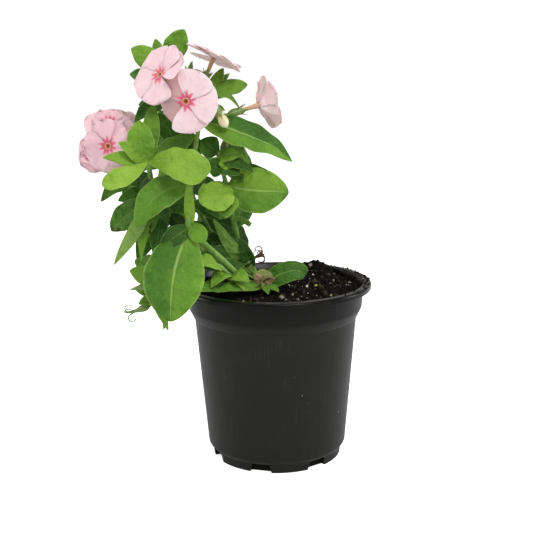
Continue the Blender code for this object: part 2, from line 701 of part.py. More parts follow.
def build_soil(mat):
    rng = random.Random(SOIL_SEED)
    rings = []
    for height in (BASE_THICKNESS + GAP, BODY_FOOT + 1.5, BODY_TOP, BAND_BOTTOM):
        radius = wall_radius(height) - GAP
        rings.append([Vector((radius, 0, height))])
        for k in range(1, POT_SIDES):
            a = math.tau * k / POT_SIDES
            rings[-1].append(Vector((radius * math.cos(a), radius * math.sin(a), height)))
    edge = wall_radius(SOIL_LEVEL) - GAP
    for r in range(SOIL_RINGS):
        radius = edge * (1 - r / SOIL_RINGS)
        ring = []
        for k in range(POT_SIDES):
            a = math.tau * k / POT_SIDES
            x, y = radius * math.cos(a), radius * math.sin(a)
            ring.append((x, y, soil_height(x, y, rng)))
        rings.append(ring)
    soil = make_object("soil", *loft(rings), mat)
    holes = []
    for spec in STEMS.values():
        if "holder" in spec:
            continue
        points = [p for p in stem_points(spec) if p.z < SOIL_LEVEL + HOLE_REACH]
        foot = points[0] + (points[0] - points[1]).normalized() * GAP
        radius = spec["radius"][0] + HOLE_CLEARANCE
        holes.append(make_object("hole", *tube([foot] + points[1:], [radius] * len(points), HOLE_SIDES), mat))
    joined(soil, holes, "DIFFERENCE")
    smooth_shade(soil, 60)
    return soil


def main():
    clear_scene()
    plastic = make_material("pot_plastic", (0.028, 0.03, 0.028), 0.45)
    earth = make_material("soil", (0.02, 0.014, 0.01), 0.95)
    green = make_material("foliage", (0.16, 0.33, 0.05), 0.5)
    pink = make_material("petals", (0.86, 0.55, 0.6), 0.5)
    cream = make_material("bud", (0.8, 0.75, 0.5), 0.5)
    build_pot(plastic)
    build_soil(earth)
    for name, spec in STEMS.items():
        if "holder" not in spec:
            build_stem(name, green)
    for name, item in BLOOMS.items():
        build_bloom(name, item, pink)
    build_cream_bud(cream)


main()
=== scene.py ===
# A garden phlox in a round nursery pot: fine leaves, blooms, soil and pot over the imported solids.
# Tables hold millimetres and degrees. Each piece is built at its own place, in the solids' frame.
import math
import random

import bpy
import numpy as np
from mathutils import Matrix, Vector, noise


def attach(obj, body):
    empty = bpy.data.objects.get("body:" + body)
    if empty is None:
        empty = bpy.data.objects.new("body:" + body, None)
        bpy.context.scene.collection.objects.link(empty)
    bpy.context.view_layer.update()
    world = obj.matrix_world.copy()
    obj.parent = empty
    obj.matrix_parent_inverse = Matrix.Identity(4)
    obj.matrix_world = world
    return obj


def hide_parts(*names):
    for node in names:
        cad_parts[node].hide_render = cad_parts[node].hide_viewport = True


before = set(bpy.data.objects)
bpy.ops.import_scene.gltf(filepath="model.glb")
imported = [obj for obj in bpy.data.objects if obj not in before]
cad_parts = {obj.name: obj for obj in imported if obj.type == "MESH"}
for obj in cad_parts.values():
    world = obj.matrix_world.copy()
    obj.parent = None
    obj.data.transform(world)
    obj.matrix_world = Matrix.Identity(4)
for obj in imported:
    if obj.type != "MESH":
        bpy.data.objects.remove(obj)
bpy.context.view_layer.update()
mm = 0.001


# The plant's measures: those of its solids, and more small leaves between its stems, most of them dark with
# painted shade

def leaf(at, tip, width, face=(-90, 20), arch=0.1, sway=0.0, fold=12, widest=0.45, full=0.75, tone=0.4,
         split=0.0, wear=0.0, rib=0.3, hook=0.03, ripple=1.0):
    # at: 0 at the stem's foot, 1 at its top; face: the way the upper side looks, as turn and rise
    # arch and sway: the bow towards the face and sideways; hook: the tip's bend down; all by length
    # fold: each half's slope; widest: where, along the leaf; full: below 0.75 for blunt ends
    # tone: dark to light, its darkest end painted shade on leaves deep between the stems; the half shade:
    # painted light and shade, how much lighter one half is; rib: how plain the midrib shows
    # wear: brown spots and a scorched tip, and over 1 a dry leaf; ripple: how uneven the blade is
    return dict(at=at, tip=tip, width=width, face=face, arch=arch, sway=sway, fold=fold, widest=widest,
                full=full, tone=tone, split=split, wear=wear, rib=rib, hook=hook, ripple=ripple)


stems = {
    "stem_front": dict(
        route=[(-14, -3, 88), (-15, -4, 99), (-28, -14, 116), (-39, -23, 129), (-46, -27, 139),
               (-45, -28, 152), (-45, -25, 165), (-42, -18, 182), (-40, -12, 194), (-38, -10, 204)],
        radius=(2.1, 1.1),
        leaves=[
            leaf(0.49, (-56, -48, 93), 33, (-90, 25), fold=6, widest=0.58, sway=-0.05, tone=0.40, split=0.1,
                 full=0.6, rib=0.9),
            leaf(0.50, (-37, -38, 133), 10, (-90, 10), widest=0.6, full=0.5, tone=0.5),
            leaf(0.49, (-62, -34, 128), 12, fold=20, tone=0.12),
            leaf(0.66, (-73, -40, 142), 19, (-90, 35), arch=0.12, sway=-0.12, tone=0.42),
            leaf(0.49, (-45.5, -34, 167), 6, (-90, 0), arch=0.04, widest=0.35, tone=0.72),
            leaf(0.93, (10, -14, 175), 18, (-90, 35), sway=-0.02, fold=15, tone=0.35, split=-0.16, rib=0.9,
                 hook=0.06),
            leaf(1.0, (-44, 0, 227), 5.5, (-120, 30), arch=0.15, sway=0.1, tone=0.5),
            leaf(0.98, (-27, 3, 223), 8, (-60, 20), arch=0.05, tone=0.5),
            leaf(0.97, (-24, 12, 220), 5, (-90, 10), tone=0.4),
            leaf(1.0, (-14, 4, 214), 10, (-90, 30), widest=0.6, tone=0.5, wear=0.3),
            leaf(0.99, (-18, -10, 201), 8, (-90, 60), arch=0.4, widest=0.4, tone=0.55),
            leaf(0.97, (-26, -12, 200), 8, (-90, 60), arch=0.2, tone=0.6),
        ],
    ),
    "stem_left": dict(
        route=[(-20, 1, 88), (-21, 0, 99), (-34, -6, 115), (-52, -8, 133), (-62, -14, 149),
               (-66, -22, 163), (-67, -28, 174)],
        radius=(1.8, 1.0),
        leaves=[
            leaf(1.0, (-36, -44, 168), 19.5, (-90, 30), arch=0.12, sway=0.07, widest=0.72, fold=8, tone=0.7,
                 full=0.3),
            leaf(1.0, (-90, -40, 164), 12, (-90, 30), arch=0.12, widest=0.68, sway=0.1, tone=0.78, full=0.5),
            leaf(0.99, (-90, -34, 178), 8.5, (-90, 30), arch=0.08, tone=0.65),
            leaf(0.99, (-81, -36, 186), 9, (-90, 30), arch=0.05, tone=0.6),
            leaf(0.98, (-70, -32, 197), 15, (-90, 0), arch=0.1, sway=0.06, widest=0.55, tone=0.58),
            leaf(0.99, (-64, -20, 205), 10, (-90, 10), arch=0.05, widest=0.5, tone=0.5),
            leaf(0.96, (-42, -16, 188), 13, (-90, 30), tone=0.4),
            leaf(0.84, (-89, -20, 118), 8, (90, 30), arch=-0.15, tone=0.8),
            leaf(0.74, (-75, -22, 127), 9, (-110, 0), tone=0.4, wear=0.9),
            leaf(0.80, (-91, -10, 135), 15, widest=0.6, tone=0.35, wear=0.6),
            leaf(0.78, (-55, -6, 164), 13, tone=0.25),
            leaf(0.62, (-68, -14, 144), 13, tone=0.25),
            leaf(0.70, (-73, -26, 121), 6, (-90, 30), arch=0.12, sway=-0.12, tone=0.6),
            leaf(0.86, (-58, -22, 140), 9, tone=0.2),
            leaf(0.66, (-49, -14, 136), 9, tone=0.12),
            leaf(0.92, (-74, -15, 159), 11, tone=0.15),
            leaf(0.60, (-57, -18, 113), 15, arch=0.08, tone=0.28),
            leaf(0.72, (-66, -18, 119), 10, (-90, 10), tone=0.2),
        ],
    ),
    "stem_top": dict(
        route=[(-14, 8, 88), (-16, 9, 99), (-30, 8, 118), (-44, 8, 144), (-52, 6, 171),
               (-59, 6, 202), (-62, 8, 226)],
        radius=(1.8, 1.0),
        leaves=[
            leaf(0.98, (-48, 4, 244), 14, (-90, 10), arch=0.06, sway=-0.04, widest=0.55, tone=0.5),
            leaf(0.99, (-65, 12, 239), 7, (-90, 10), arch=0.05, tone=0.45),
            leaf(0.97, (-78, 6, 234), 13, (-90, 10), arch=0.06, sway=-0.02, widest=0.5, tone=0.6),
            leaf(0.92, (-80, 10, 220), 11, (-90, 30), tone=0.4),
            leaf(0.85, (-75, 6, 203), 10, (-90, -20), tone=0.35),
            leaf(0.86, (-75, -16, 195), 12, arch=0.12, widest=0.4, fold=25, tone=0.25),
            leaf(0.70, (-63, -6, 199), 12, (-90, 10), tone=0.3),
            leaf(0.62, (-39, 14, 182), 12, (-80, 40), tone=0.3),
            leaf(0.50, (-35, 20, 159), 14, (-70, 50), tone=0.2),
            leaf(0.42, (-71, 12, 150), 14, (-100, 40), tone=0.3),
            leaf(0.30, (-40, 22, 131), 12, (-60, 50), tone=0.15),
            leaf(0.26, (-62, 14, 126), 15, (-90, 40), arch=0.15, tone=0.25),
            leaf(0.78, (-29, 8, 190), 12, (-80, 50), tone=0.4),
            leaf(0.80, (-72, 20, 188), 12, (-120, 40), tone=0.35),
            leaf(0.84, (-48, 34, 208), 13, (90, 40), arch=0.15, tone=0.45),
            leaf(0.66, (-68, 36, 176), 15, (90, 50), arch=0.15, tone=0.5),
            leaf(0.55, (-30, 38, 168), 16, (60, 50), arch=0.15, tone=0.4),
            leaf(0.93, (-44, 30, 214), 11, (70, 50), arch=0.15, tone=0.55),
            leaf(0.72, (-38, 0, 178), 11, tone=0.2),
            leaf(0.56, (-58, -2, 142), 12, tone=0.15),
            leaf(0.36, (-50, -4, 126), 13, tone=0.2),
            leaf(0.50, (-38, -4, 164), 12, tone=0.15),
        ],
    ),
    "stem_right": dict(
        route=[(-8, 3, 88), (-8, 3, 99), (-18, 4, 117), (-23, 0, 135), (-26, -8, 152),
               (-27, -12, 162), (-29, -10, 170), (-30, -8, 178)],
        radius=(1.7, 1.0),
        stub=(0.56, (-19, 0, 139.5), (-13.5, -2, 135)),
        leaves=[
            leaf(0.81, (-35, -34, 150), 20, arch=0.05, widest=0.6, tone=0.7, full=0.36),
            leaf(0.75, (-26, -28, 144), 14, (-90, 30), widest=0.6, tone=0.5),
            leaf(0.79, (8, -16, 156), 26, arch=0.06, sway=-0.05, tone=0.52, split=0.14, rib=0.8,
                 wear=0.2, widest=0.5, full=0.65),
            leaf(0.98, (-15, -18, 167), 14, (-100, 40), tone=0.62),
            leaf(0.99, (-12, -6, 169), 12, (-90, 50), arch=0.2, tone=0.45),
            leaf(0.99, (-40, -8, 184), 13, sway=0.05, tone=0.28),
            leaf(0.18, (-34, -14, 142), 8, (90, 20), arch=0.0, sway=-0.04, widest=0.4, tone=0.7),
            leaf(0.27, (-25, 8, 141), 12, (-60, 20), sway=0.08, tone=0.15),
            leaf(0.34, (-38, 3, 129), 16, (-80, 20), tone=0.12),
            leaf(0.48, (-39, -2, 141), 14, tone=0.12),
            leaf(0.50, (-20, 32, 142), 14, (30, 60), arch=0.15, tone=0.35),
            leaf(0.72, (-9, 22, 160), 13, (40, 60), arch=0.12, tone=0.4),
            leaf(0.90, (-18, 12, 184), 12, (60, 40), tone=0.45),
            leaf(0.94, (-11, -24, 168), 8, (-90, 50), arch=0.1, tone=0.12),
            leaf(0.92, (-19, -21, 166), 13, (-90, 35), tone=0.12),
            leaf(0.88, (-37, -18, 172), 11, tone=0.14),
            leaf(0.62, (-38, -14, 146), 11, tone=0.3),
            leaf(0.96, (-17, -18, 177), 8, (-90, 30), arch=0.05, tone=0.6),
            leaf(0.90, (5, -6, 158), 13, arch=0.06, tone=0.35),
            leaf(0.22, (-20, -6, 129), 8, tone=0.12),
            leaf(0.30, (-32, -4, 118), 12, tone=0.15),
            leaf(0.34, (-28, -6, 109), 13, tone=0.15),
            leaf(0.30, (-48, -12, 116), 16, tone=0.14),
            leaf(0.60, (-46, -7, 149), 13, tone=0.14),
        ],
    ),
    "stem_low": dict(
        route=[(-20, -6, 88), (-22, -8, 99), (-29, -18, 113), (-41, -26, 119), (-54, -22, 118),
               (-66, -14, 109), (-69, -10, 95)],
        radius=(1.6, 1.0),
        leaves=[
            leaf(0.86, (-81, -16, 113), 11, (-90, 10), tone=0.5),
            leaf(0.36, (-41, -34, 120), 13, (-90, 45), arch=0.15, tone=0.66, ripple=0.4),
            leaf(0.24, (-35, -30, 106), 10, (-90, 60), arch=0.25, tone=0.6, ripple=0.1),
            leaf(0.24, (-14.5, -24, 107.5), 10, (-90, 50), arch=0.22, tone=0.6, ripple=0.15),
            leaf(0.16, (-17, -23, 102), 7, (-90, 60), arch=0.35, tone=0.66, ripple=0.15),
            leaf(0.13, (-41, -33, 105), 11, (-90, 45), arch=0.06, sway=-0.04, tone=0.4, ripple=0.15),
            leaf(0.98, (-80, -8, 101), 4.5, (-90, 10), tone=0.5),
            leaf(0.99, (-77, -14, 93), 6, (-90, 10), tone=0.5),
            leaf(0.99, (-64, -10, 77), 5, (-90, 10), sway=0.2, tone=0.6),
            leaf(0.95, (-60, -22, 80), 6, (-90, 10), tone=0.65),
            leaf(0.62, (-62, 2, 126), 13, (-120, 50), tone=0.35),
            leaf(0.80, (-80, 2, 116), 11, (-140, 50), tone=0.45),
        ],
    ),
    "stem_back": dict(
        route=[(-22, 12, 88), (-24, 13, 99), (-33, 20, 116), (-51, 28, 133), (-67, 28, 150),
               (-81, 24, 164)],
        radius=(1.7, 1.0),
        leaves=[
            leaf(0.90, (-99, 8, 149), 13, (-100, 30), arch=0.2, sway=-0.08, tone=0.42, wear=0.3),
            leaf(0.95, (-86, 2, 152), 9, (-90, 10), tone=0.35),
            leaf(0.74, (-79, 4, 114), 16, (-100, 0), arch=0.12, tone=0.35),
            leaf(0.45, (-32, 54, 138), 16, (60, 60), arch=0.15, tone=0.45),
            leaf(0.62, (-72, 58, 138), 16, (100, 50), arch=0.15, tone=0.5),
            leaf(0.78, (-58, 50, 172), 13, (80, 60), tone=0.45),
            leaf(0.98, (-102, 38, 172), 12, (130, 50), tone=0.5),
            leaf(0.97, (-70, 22, 186), 11, (-60, 20), tone=0.4),
            leaf(0.30, (-62, 40, 106), 15, (110, 40), arch=0.2, tone=0.4),
        ],
    ),
    "branch_left": dict(
        holder="stem_left",
        route=[(-62, -14, 150), (-72, -8, 158), (-80, -3, 166), (-83, 0, 172)],
        radius=(1.3, 1.2),
        leaves=[
            leaf(0.45, (-91, -16, 168), 9, (-90, 30), arch=0.2, tone=0.5),
            leaf(0.30, (-86, -14, 152), 9, tone=0.3),
        ],
    ),
    "basal_tuft": dict(
        route=[(-6, -5, 88), (-6, -5, 98), (-7, -5.5, 100), (-8, -6, 102.5)],
        radius=(1.8, 1.2),
        leaves=[
            leaf(0.92, (-5, -5, 110), 10, (-90, 15), widest=0.6, full=0.5, tone=0.5, wear=1.5, ripple=0.4),
            leaf(0.86, (17.5, -6, 110), 14, (-90, 40), arch=0.12, sway=0.04, widest=0.52, full=0.25,
                 tone=0.28, wear=0.25, rib=0.6, hook=0.14, ripple=0.2),
            leaf(0.82, (2, -16, 99.5), 6, (-90, 60), tone=0.45, wear=0.4),
            leaf(0.82, (-4, -19, 99), 5, (-90, 60), tone=0.4),
            leaf(0.80, (-33, -27, 103), 10, (-90, 50), arch=0.08, tone=0.42, ripple=0.15),
            leaf(0.95, (-12, -9, 108.5), 5, tone=0.4, wear=2.0),
            leaf(0.90, (0, -9, 106), 5, tone=0.4, wear=1.8),
        ],
    ),
}


def bloom(holder, at, centre, face, radius, spin, lifts, turns=(0, 0, 0, 0, 0), ruffle=0.5,
          rosyShade=(0, 0, 0, 0, 0), blush=0.0, inner=0.0, point=0.15):
    # lifts: each petal's bend forward; turns: each petal's turn from its even place; rosy shade: painted
    # shade on petals that lie in shade; blush: a deeper pink; inner: size of a second ring of crumpled petals
    # point: 0 for petals with a round end, 1 for a straight-sided point
    return dict(holder=holder, at=at, centre=centre, face=face, radius=radius, spin=spin, lifts=lifts,
                turns=turns, ruffle=ruffle, rosyShade=rosyShade, blush=blush, inner=inner, point=point)


blooms = {
    "bloom_front": bloom("stem_front", 0.98, (-45.5, -34, 206), (-95, 2), 16.7, 65,
                         (0, 0, 0, -28, -22), rosyShade=(0, 0, 0, 0.42, 0.42)),
    "bloom_upper_left": bloom("stem_top", 0.88, (-59.5, -24, 219.5), (-132, 36), 17, 58,
                              (16, 10, -8, 5, 14), (12, 40, 4, 0, 0), rosyShade=(0.08, 0.08, 0.08, 0.08, 0.08),
                              ruffle=0.8, blush=0.34, point=0.5),
    "bloom_top": bloom("stem_front", 1.0, (-32, -5, 228), (25, 65), 16, 0,
                       (2, 6, 0, 4, 8), ruffle=0.35, blush=0.35),
    "bloom_right": bloom("stem_front", 0.97, (-8, -5, 202), (21, 14), 16, 90,
                         (30, 36, 30, 32, 30), point=0.4),
    "bloom_head_front": bloom("branch_left", 1.0, (-88.5, -24, 182.5), (-112, 4), 14.5, 40,
                              (0, 5, 0, 5, 0), ruffle=1.7, blush=0.72),
    "bloom_head_top": bloom("branch_left", 1.0, (-91, -2, 192.5), (-80, 58), 13.5, 20,
                            (0, 4, 0, 4, 0), ruffle=1.9, blush=0.65, inner=0.7),
    "bloom_head_left": bloom("branch_left", 0.98, (-98, -16, 178), (-118, 8), 10.5, 4,
                             (0, 4, 0, 4, 0), ruffle=1.9, blush=0.75, inner=0.7),
    "bloom_head_back": bloom("branch_left", 0.98, (-91, 26, 187), (115, 30), 14.5, 10,
                             (0, 4, 0, 4, 0), ruffle=1.9, blush=0.6, inner=0.7),
}
creamBud = dict(holder="stem_front", at=0.96, mouth=(-29, -22, 199), face=(0, -62))
greenCalyces = [  # spent: how many curled threads it carries
    dict(holder="stem_front", at=0.99, mouth=(-47, 0, 220), face=(150, 75)),
    dict(holder="stem_right", at=0.99, mouth=(-26, -2, 184), face=(30, 70)),
    dict(holder="stem_right", at=0.14, mouth=(-12, 0, 115.5), face=(0, 25), spent=7, dry=True),
    dict(holder="stem_low", at=0.97, mouth=(-79, -10, 88), face=(180, -20), spent=4),
    dict(holder="stem_low", at=0.80, mouth=(-78, -14, 102), face=(190, -10)),
]


# Small tools

def unit(v):
    return v / np.linalg.norm(v, axis=-1, keepdims=True)


def heading(turn, rise):  # the way that lies turn degrees round from X and rises by rise degrees
    h, r = math.radians(turn), math.radians(rise)
    return np.array((math.cos(r) * math.cos(h), math.cos(r) * math.sin(h), math.sin(r)))


def squareTo(v, axis):  # the part of v square to axis, one row for each
    return unit(v - axis * np.sum(v * axis, axis=-1, keepdims=True))


def evenAngles(count):
    return np.arange(count) * math.tau / count


def fromEdges(count):  # -1 to 1 in steps that close up at both ends
    return np.sin(np.linspace(-1, 1, count) * math.pi / 2)


def smoothRoute(route, steps=6):
    p = np.array(route, float)
    p = np.vstack([2 * p[0] - p[1], p, 2 * p[-1] - p[-2]])
    curve = []
    for a, b, c, d in zip(p, p[1:], p[2:], p[3:]):
        for i in range(steps):
            t = i / steps
            curve.append((2 * b + (c - a) * t + (2 * a - 5 * b + 4 * c - d) * t ** 2
                          + (3 * b - a - 3 * c + d) * t ** 3) / 2)
    return np.array(curve + [p[-2]])


def evenPoints(curve, count):
    steps = np.linalg.norm(np.diff(curve, axis=0), axis=1)
    along = np.concatenate([[0], np.cumsum(steps)])
    wanted = np.linspace(0, along[-1], count)
    return np.stack([np.interp(wanted, along, curve[:, k]) for k in range(3)], axis=1)


def station(spec, at):  # the point on its stem where a leaf or a stalk stands
    points = evenPoints(smoothRoute(spec["route"]), 2 * len(spec["route"]) + 1)
    k = min(at, 1.0) * (len(points) - 1)
    i = min(int(k), len(points) - 2)
    return points[i] + (points[i + 1] - points[i]) * (k - i)


def bezier(a, b, c, count):
    a, b, c = (np.array(point, float) for point in (a, b, c))
    t = np.linspace(0, 1, count)[:, None]
    return a * (1 - t) ** 2 + b * 2 * t * (1 - t) + c * t * t


def newStock():
    return dict(points=[], faces=[], slots=[], place=[], traits=[], count=0)


def addShape(stock, points, faces, place=(0, 0, 0), traits=(0, 0, 0), slot=0):
    # place and traits are three numbers for each point, which the materials read
    points = np.asarray(points, float)
    shift = stock["count"]
    stock["points"].append(points)
    stock["faces"] += [tuple(k + shift for k in face) for face in faces]
    stock["slots"] += [slot] * len(faces)
    stock["place"].append(np.broadcast_to(np.asarray(place, float), points.shape))
    stock["traits"].append(np.broadcast_to(np.asarray(traits, float), points.shape))
    stock["count"] += len(points)


def buildPiece(name, stock, materials):
    mesh = bpy.data.meshes.new(name)
    mesh.from_pydata(np.vstack(stock["points"]) * mm, [], stock["faces"])
    for key in ("place", "traits"):
        data = mesh.attributes.new(key, "FLOAT_VECTOR", "POINT").data
        data.foreach_set("vector", np.vstack(stock[key]).ravel())
    for material in materials:
        mesh.materials.append(material)
    mesh.polygons.foreach_set("material_index", stock["slots"])
    mesh.shade_smooth()
    mesh.update()
    return linked(name, mesh)


def linked(name, data):
    item = bpy.data.objects.new(name, data)
    bpy.context.scene.collection.objects.link(item)
    return item


def finishPiece(piece, slot, *nodes):
    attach(piece, "root")
    if nodes:
        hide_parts(*nodes)
    return piece


def slabFaces(rows, columns):
    # two skins of a thin blade and the rim between them; the first skin faces up
    count = rows * columns
    faces, back = [], []
    for i in range(rows - 1):
        for k in range(columns - 1):
            a, b = i * columns + k, (i + 1) * columns + k
            faces.append((a, b, b + 1, a + 1))
            back.append((a + 1 + count, b + 1 + count, b + count, a + count))
    rim = [i * columns for i in range(rows)]
    rim += [(rows - 1) * columns + k for k in range(1, columns)]
    rim += [i * columns + columns - 1 for i in reversed(range(rows - 1))]
    rim += [k for k in reversed(range(1, columns - 1))]
    edge = [(q, p, p + count, q + count) for p, q in zip(rim, rim[1:] + rim[:1])]
    return faces + back + edge


def addBlade(stock, points, flat, high, low, place, traits):
    # a grid of points made a thin blade: high and low are its two skins' heights along flat
    # the third trait of the lower skin is 1
    skins = [(points + flat[:, None, :] * height[..., None]).reshape(-1, 3) for height in (high, low)]
    place = np.stack(place, axis=-1).reshape(-1, 3)
    traits = np.stack([np.broadcast_to(trait, high.shape) for trait in traits], axis=-1).reshape(-1, 3)
    under = traits * (1, 1, 0) + (0, 0, 1)
    addShape(stock, np.vstack(skins), slabFaces(*high.shape), np.vstack([place, place]),
             np.vstack([traits, under]))


def ringFaces(count, sides, closed=True):
    faces = []
    for r in range(count - 1):
        for i in range(sides):
            j = (i + 1) % sides
            faces.append((r * sides + i, r * sides + j, (r + 1) * sides + j, (r + 1) * sides + i))
    if closed:
        faces.append(tuple(reversed(range(sides))))
        faces.append(tuple(range((count - 1) * sides, count * sides)))
    return faces


def ringAt(angles, radius, height):
    ring = (radius * np.cos(angles), radius * np.sin(angles), height)
    return np.stack(np.broadcast_arrays(*ring), axis=1)


def tubeShape(points, radii, sides):
    points = np.asarray(points, float)
    ahead = unit(np.gradient(points, axis=0))
    side = np.array((0.31, 0.2, 0.93))   # any way that no stem follows
    angles = evenAngles(sides)
    rings = []
    for point, radius, way in zip(points, radii, ahead):
        side = squareTo(side, way)
        up = np.cross(way, side)
        rings.append(point + radius * (np.outer(np.cos(angles), side) + np.outer(np.sin(angles), up)))
    return np.vstack(rings), ringFaces(len(points), sides)


def setAlong(points, origin, side, up, ahead):  # points turned about Z, put with Z along ahead
    points = np.asarray(points, float)
    return np.array(origin, float) + points[:, :1] * side + points[:, 1:2] * up + points[:, 2:] * ahead


# Tools for node trees

def addNode(tree, kind, inputs=None, **settings):
    made = tree.nodes.new(kind)
    for key, value in settings.items():
        setattr(made, key, value)
    for key, value in (inputs or {}).items():
        if isinstance(value, bpy.types.NodeSocket):
            tree.links.new(value, made.inputs[key])
        else:
            made.inputs[key].default_value = value
    return made


def firstOf(tree, kind, inputs=None, **settings):  # a new node's first output
    return addNode(tree, kind, inputs, **settings).outputs[0]


def calc(tree, operation, a, b=0.0, clamp=False):
    return firstOf(tree, "ShaderNodeMath", {0: a, 1: b}, operation=operation, use_clamp=clamp)


def times(tree, a, b, clamp=False):
    return calc(tree, "MULTIPLY", a, b, clamp)


def plus(tree, a, b, clamp=False):
    return calc(tree, "ADD", a, b, clamp)


def minus(tree, a, b):
    return calc(tree, "SUBTRACT", a, b)


def larger(tree, a, b, clamp=False):
    return calc(tree, "MAXIMUM", a, b, clamp)


def about(tree, grain, amount):  # a grain's rise and fall about its middle
    return times(tree, minus(tree, grain, 0.5), amount)


def between(tree, value, low, high, toLow=0.0, toHigh=1.0):  # a soft step from low to high
    return firstOf(tree, "ShaderNodeMapRange", {0: value, 1: low, 2: high, 3: toLow, 4: toHigh},
                   interpolation_type="SMOOTHSTEP")


def vectorOf(tree, x=0.0, y=0.0, z=0.0):
    return firstOf(tree, "ShaderNodeCombineXYZ", {0: x, 1: y, 2: z})


def partsOf(tree, vector):
    return addNode(tree, "ShaderNodeSeparateXYZ", {0: vector}).outputs


def withAlpha(colour):  # a socket stays as it is
    return colour if isinstance(colour, bpy.types.NodeSocket) else (*colour, 1.0)


def blendColour(tree, share, a, b):
    made = addNode(tree, "ShaderNodeMix", {0: share, 6: withAlpha(a), 7: withAlpha(b)},
                   data_type="RGBA", blend_type="MIX")
    return made.outputs[2]


def ramp(tree, value, stops):
    made = addNode(tree, "ShaderNodeValToRGB", {0: value})
    elements = made.color_ramp.elements
    while len(elements) < len(stops):
        elements.new(0.5)
    for element, (position, colour) in zip(elements, stops):
        element.position = position
        element.color = withAlpha(colour)
    return made.outputs[0]


def grainOf(tree, vector, scale, detail=2.0, roughness=0.5):
    return firstOf(tree, "ShaderNodeTexNoise", {
        "Vector": vector, "Scale": scale, "Detail": detail, "Roughness": roughness})


def bumpOf(tree, height, strength, distance, normal=None):
    inputs = {"Strength": strength, "Distance": distance, "Height": height}
    if normal is not None:
        inputs["Normal"] = normal
    return firstOf(tree, "ShaderNodeBump", inputs)


def roughOf(tree, grain, look):  # from the look's roughness up, by the grain
    return plus(tree, times(tree, grain, look["roughSpread"]), look["roughness"])


def newMaterial(name, **fixed):  # the material, its tree, its shader and the object's own coordinates
    material = bpy.data.materials.new(name)
    material.use_nodes = True
    tree = material.node_tree
    shader = tree.nodes["Principled BSDF"]
    for key, value in fixed.items():
        shader.inputs[key.replace("_", " ")].default_value = value
    return material, tree, shader, addNode(tree, "ShaderNodeTexCoord").outputs["Object"]


def readParts(tree, key):  # the three numbers of the attribute place or traits
    return partsOf(tree, addNode(tree, "ShaderNodeAttribute", attribute_name=key).outputs["Vector"])


def drive(tree, shader, **sockets):
    for key, socket in sockets.items():
        tree.links.new(socket, shader.inputs[key.replace("_", " ")])


# Leaves

leafLook = dict(
    shades=[(0.0, (0.015, 0.050, 0.006)), (0.3, (0.048, 0.142, 0.012)), (0.6, (0.14, 0.285, 0.024)),
            (0.85, (0.25, 0.395, 0.045)), (1.0, (0.34, 0.49, 0.08))],
    veinColour=(0.33, 0.47, 0.13), edgeColour=(0.3, 0.42, 0.1), paleSide=(0.19, 0.32, 0.09),
    spotColour=(0.035, 0.018, 0.008), dryColour=(0.46, 0.31, 0.18),
    ribHalf=(0.06, 0.016), ribShare=0.7, veinShare=0.12, edgeShare=0.45, paleShare=0.6,
    mottle=0.21, mottleScale=70.0, fineScale=620.0, blotchScale=210.0, roughness=0.50, roughSpread=0.22,
    crumple=1.0, crumpleScale=270.0, crumpleHeight=0.0020, relief=0.35, reliefHeight=0.0004,
)
leafShape = dict(
    thickness=0.42, edgeThickness=0.22, ribDepth=0.35, ribWidth=0.55, veinSpacing=4.2, veinLean=1.15,
    quilt=0.24, wave=0.09, curl=0.16, twist=16.0, root=0.7, fineness=1.0, hookFrom=0.72, leastHalf=0.13,
    bumps=[(11, 1.25), (4.5, 0.5)],   # width and height of the blade's unevenness
    waveLength=28, waveCount=(1.6, 3.0), toneSpread=0.03,
    fullWidth=14, veinWidth=18,       # a narrower leaf is plainer, and its veins stand closer
)


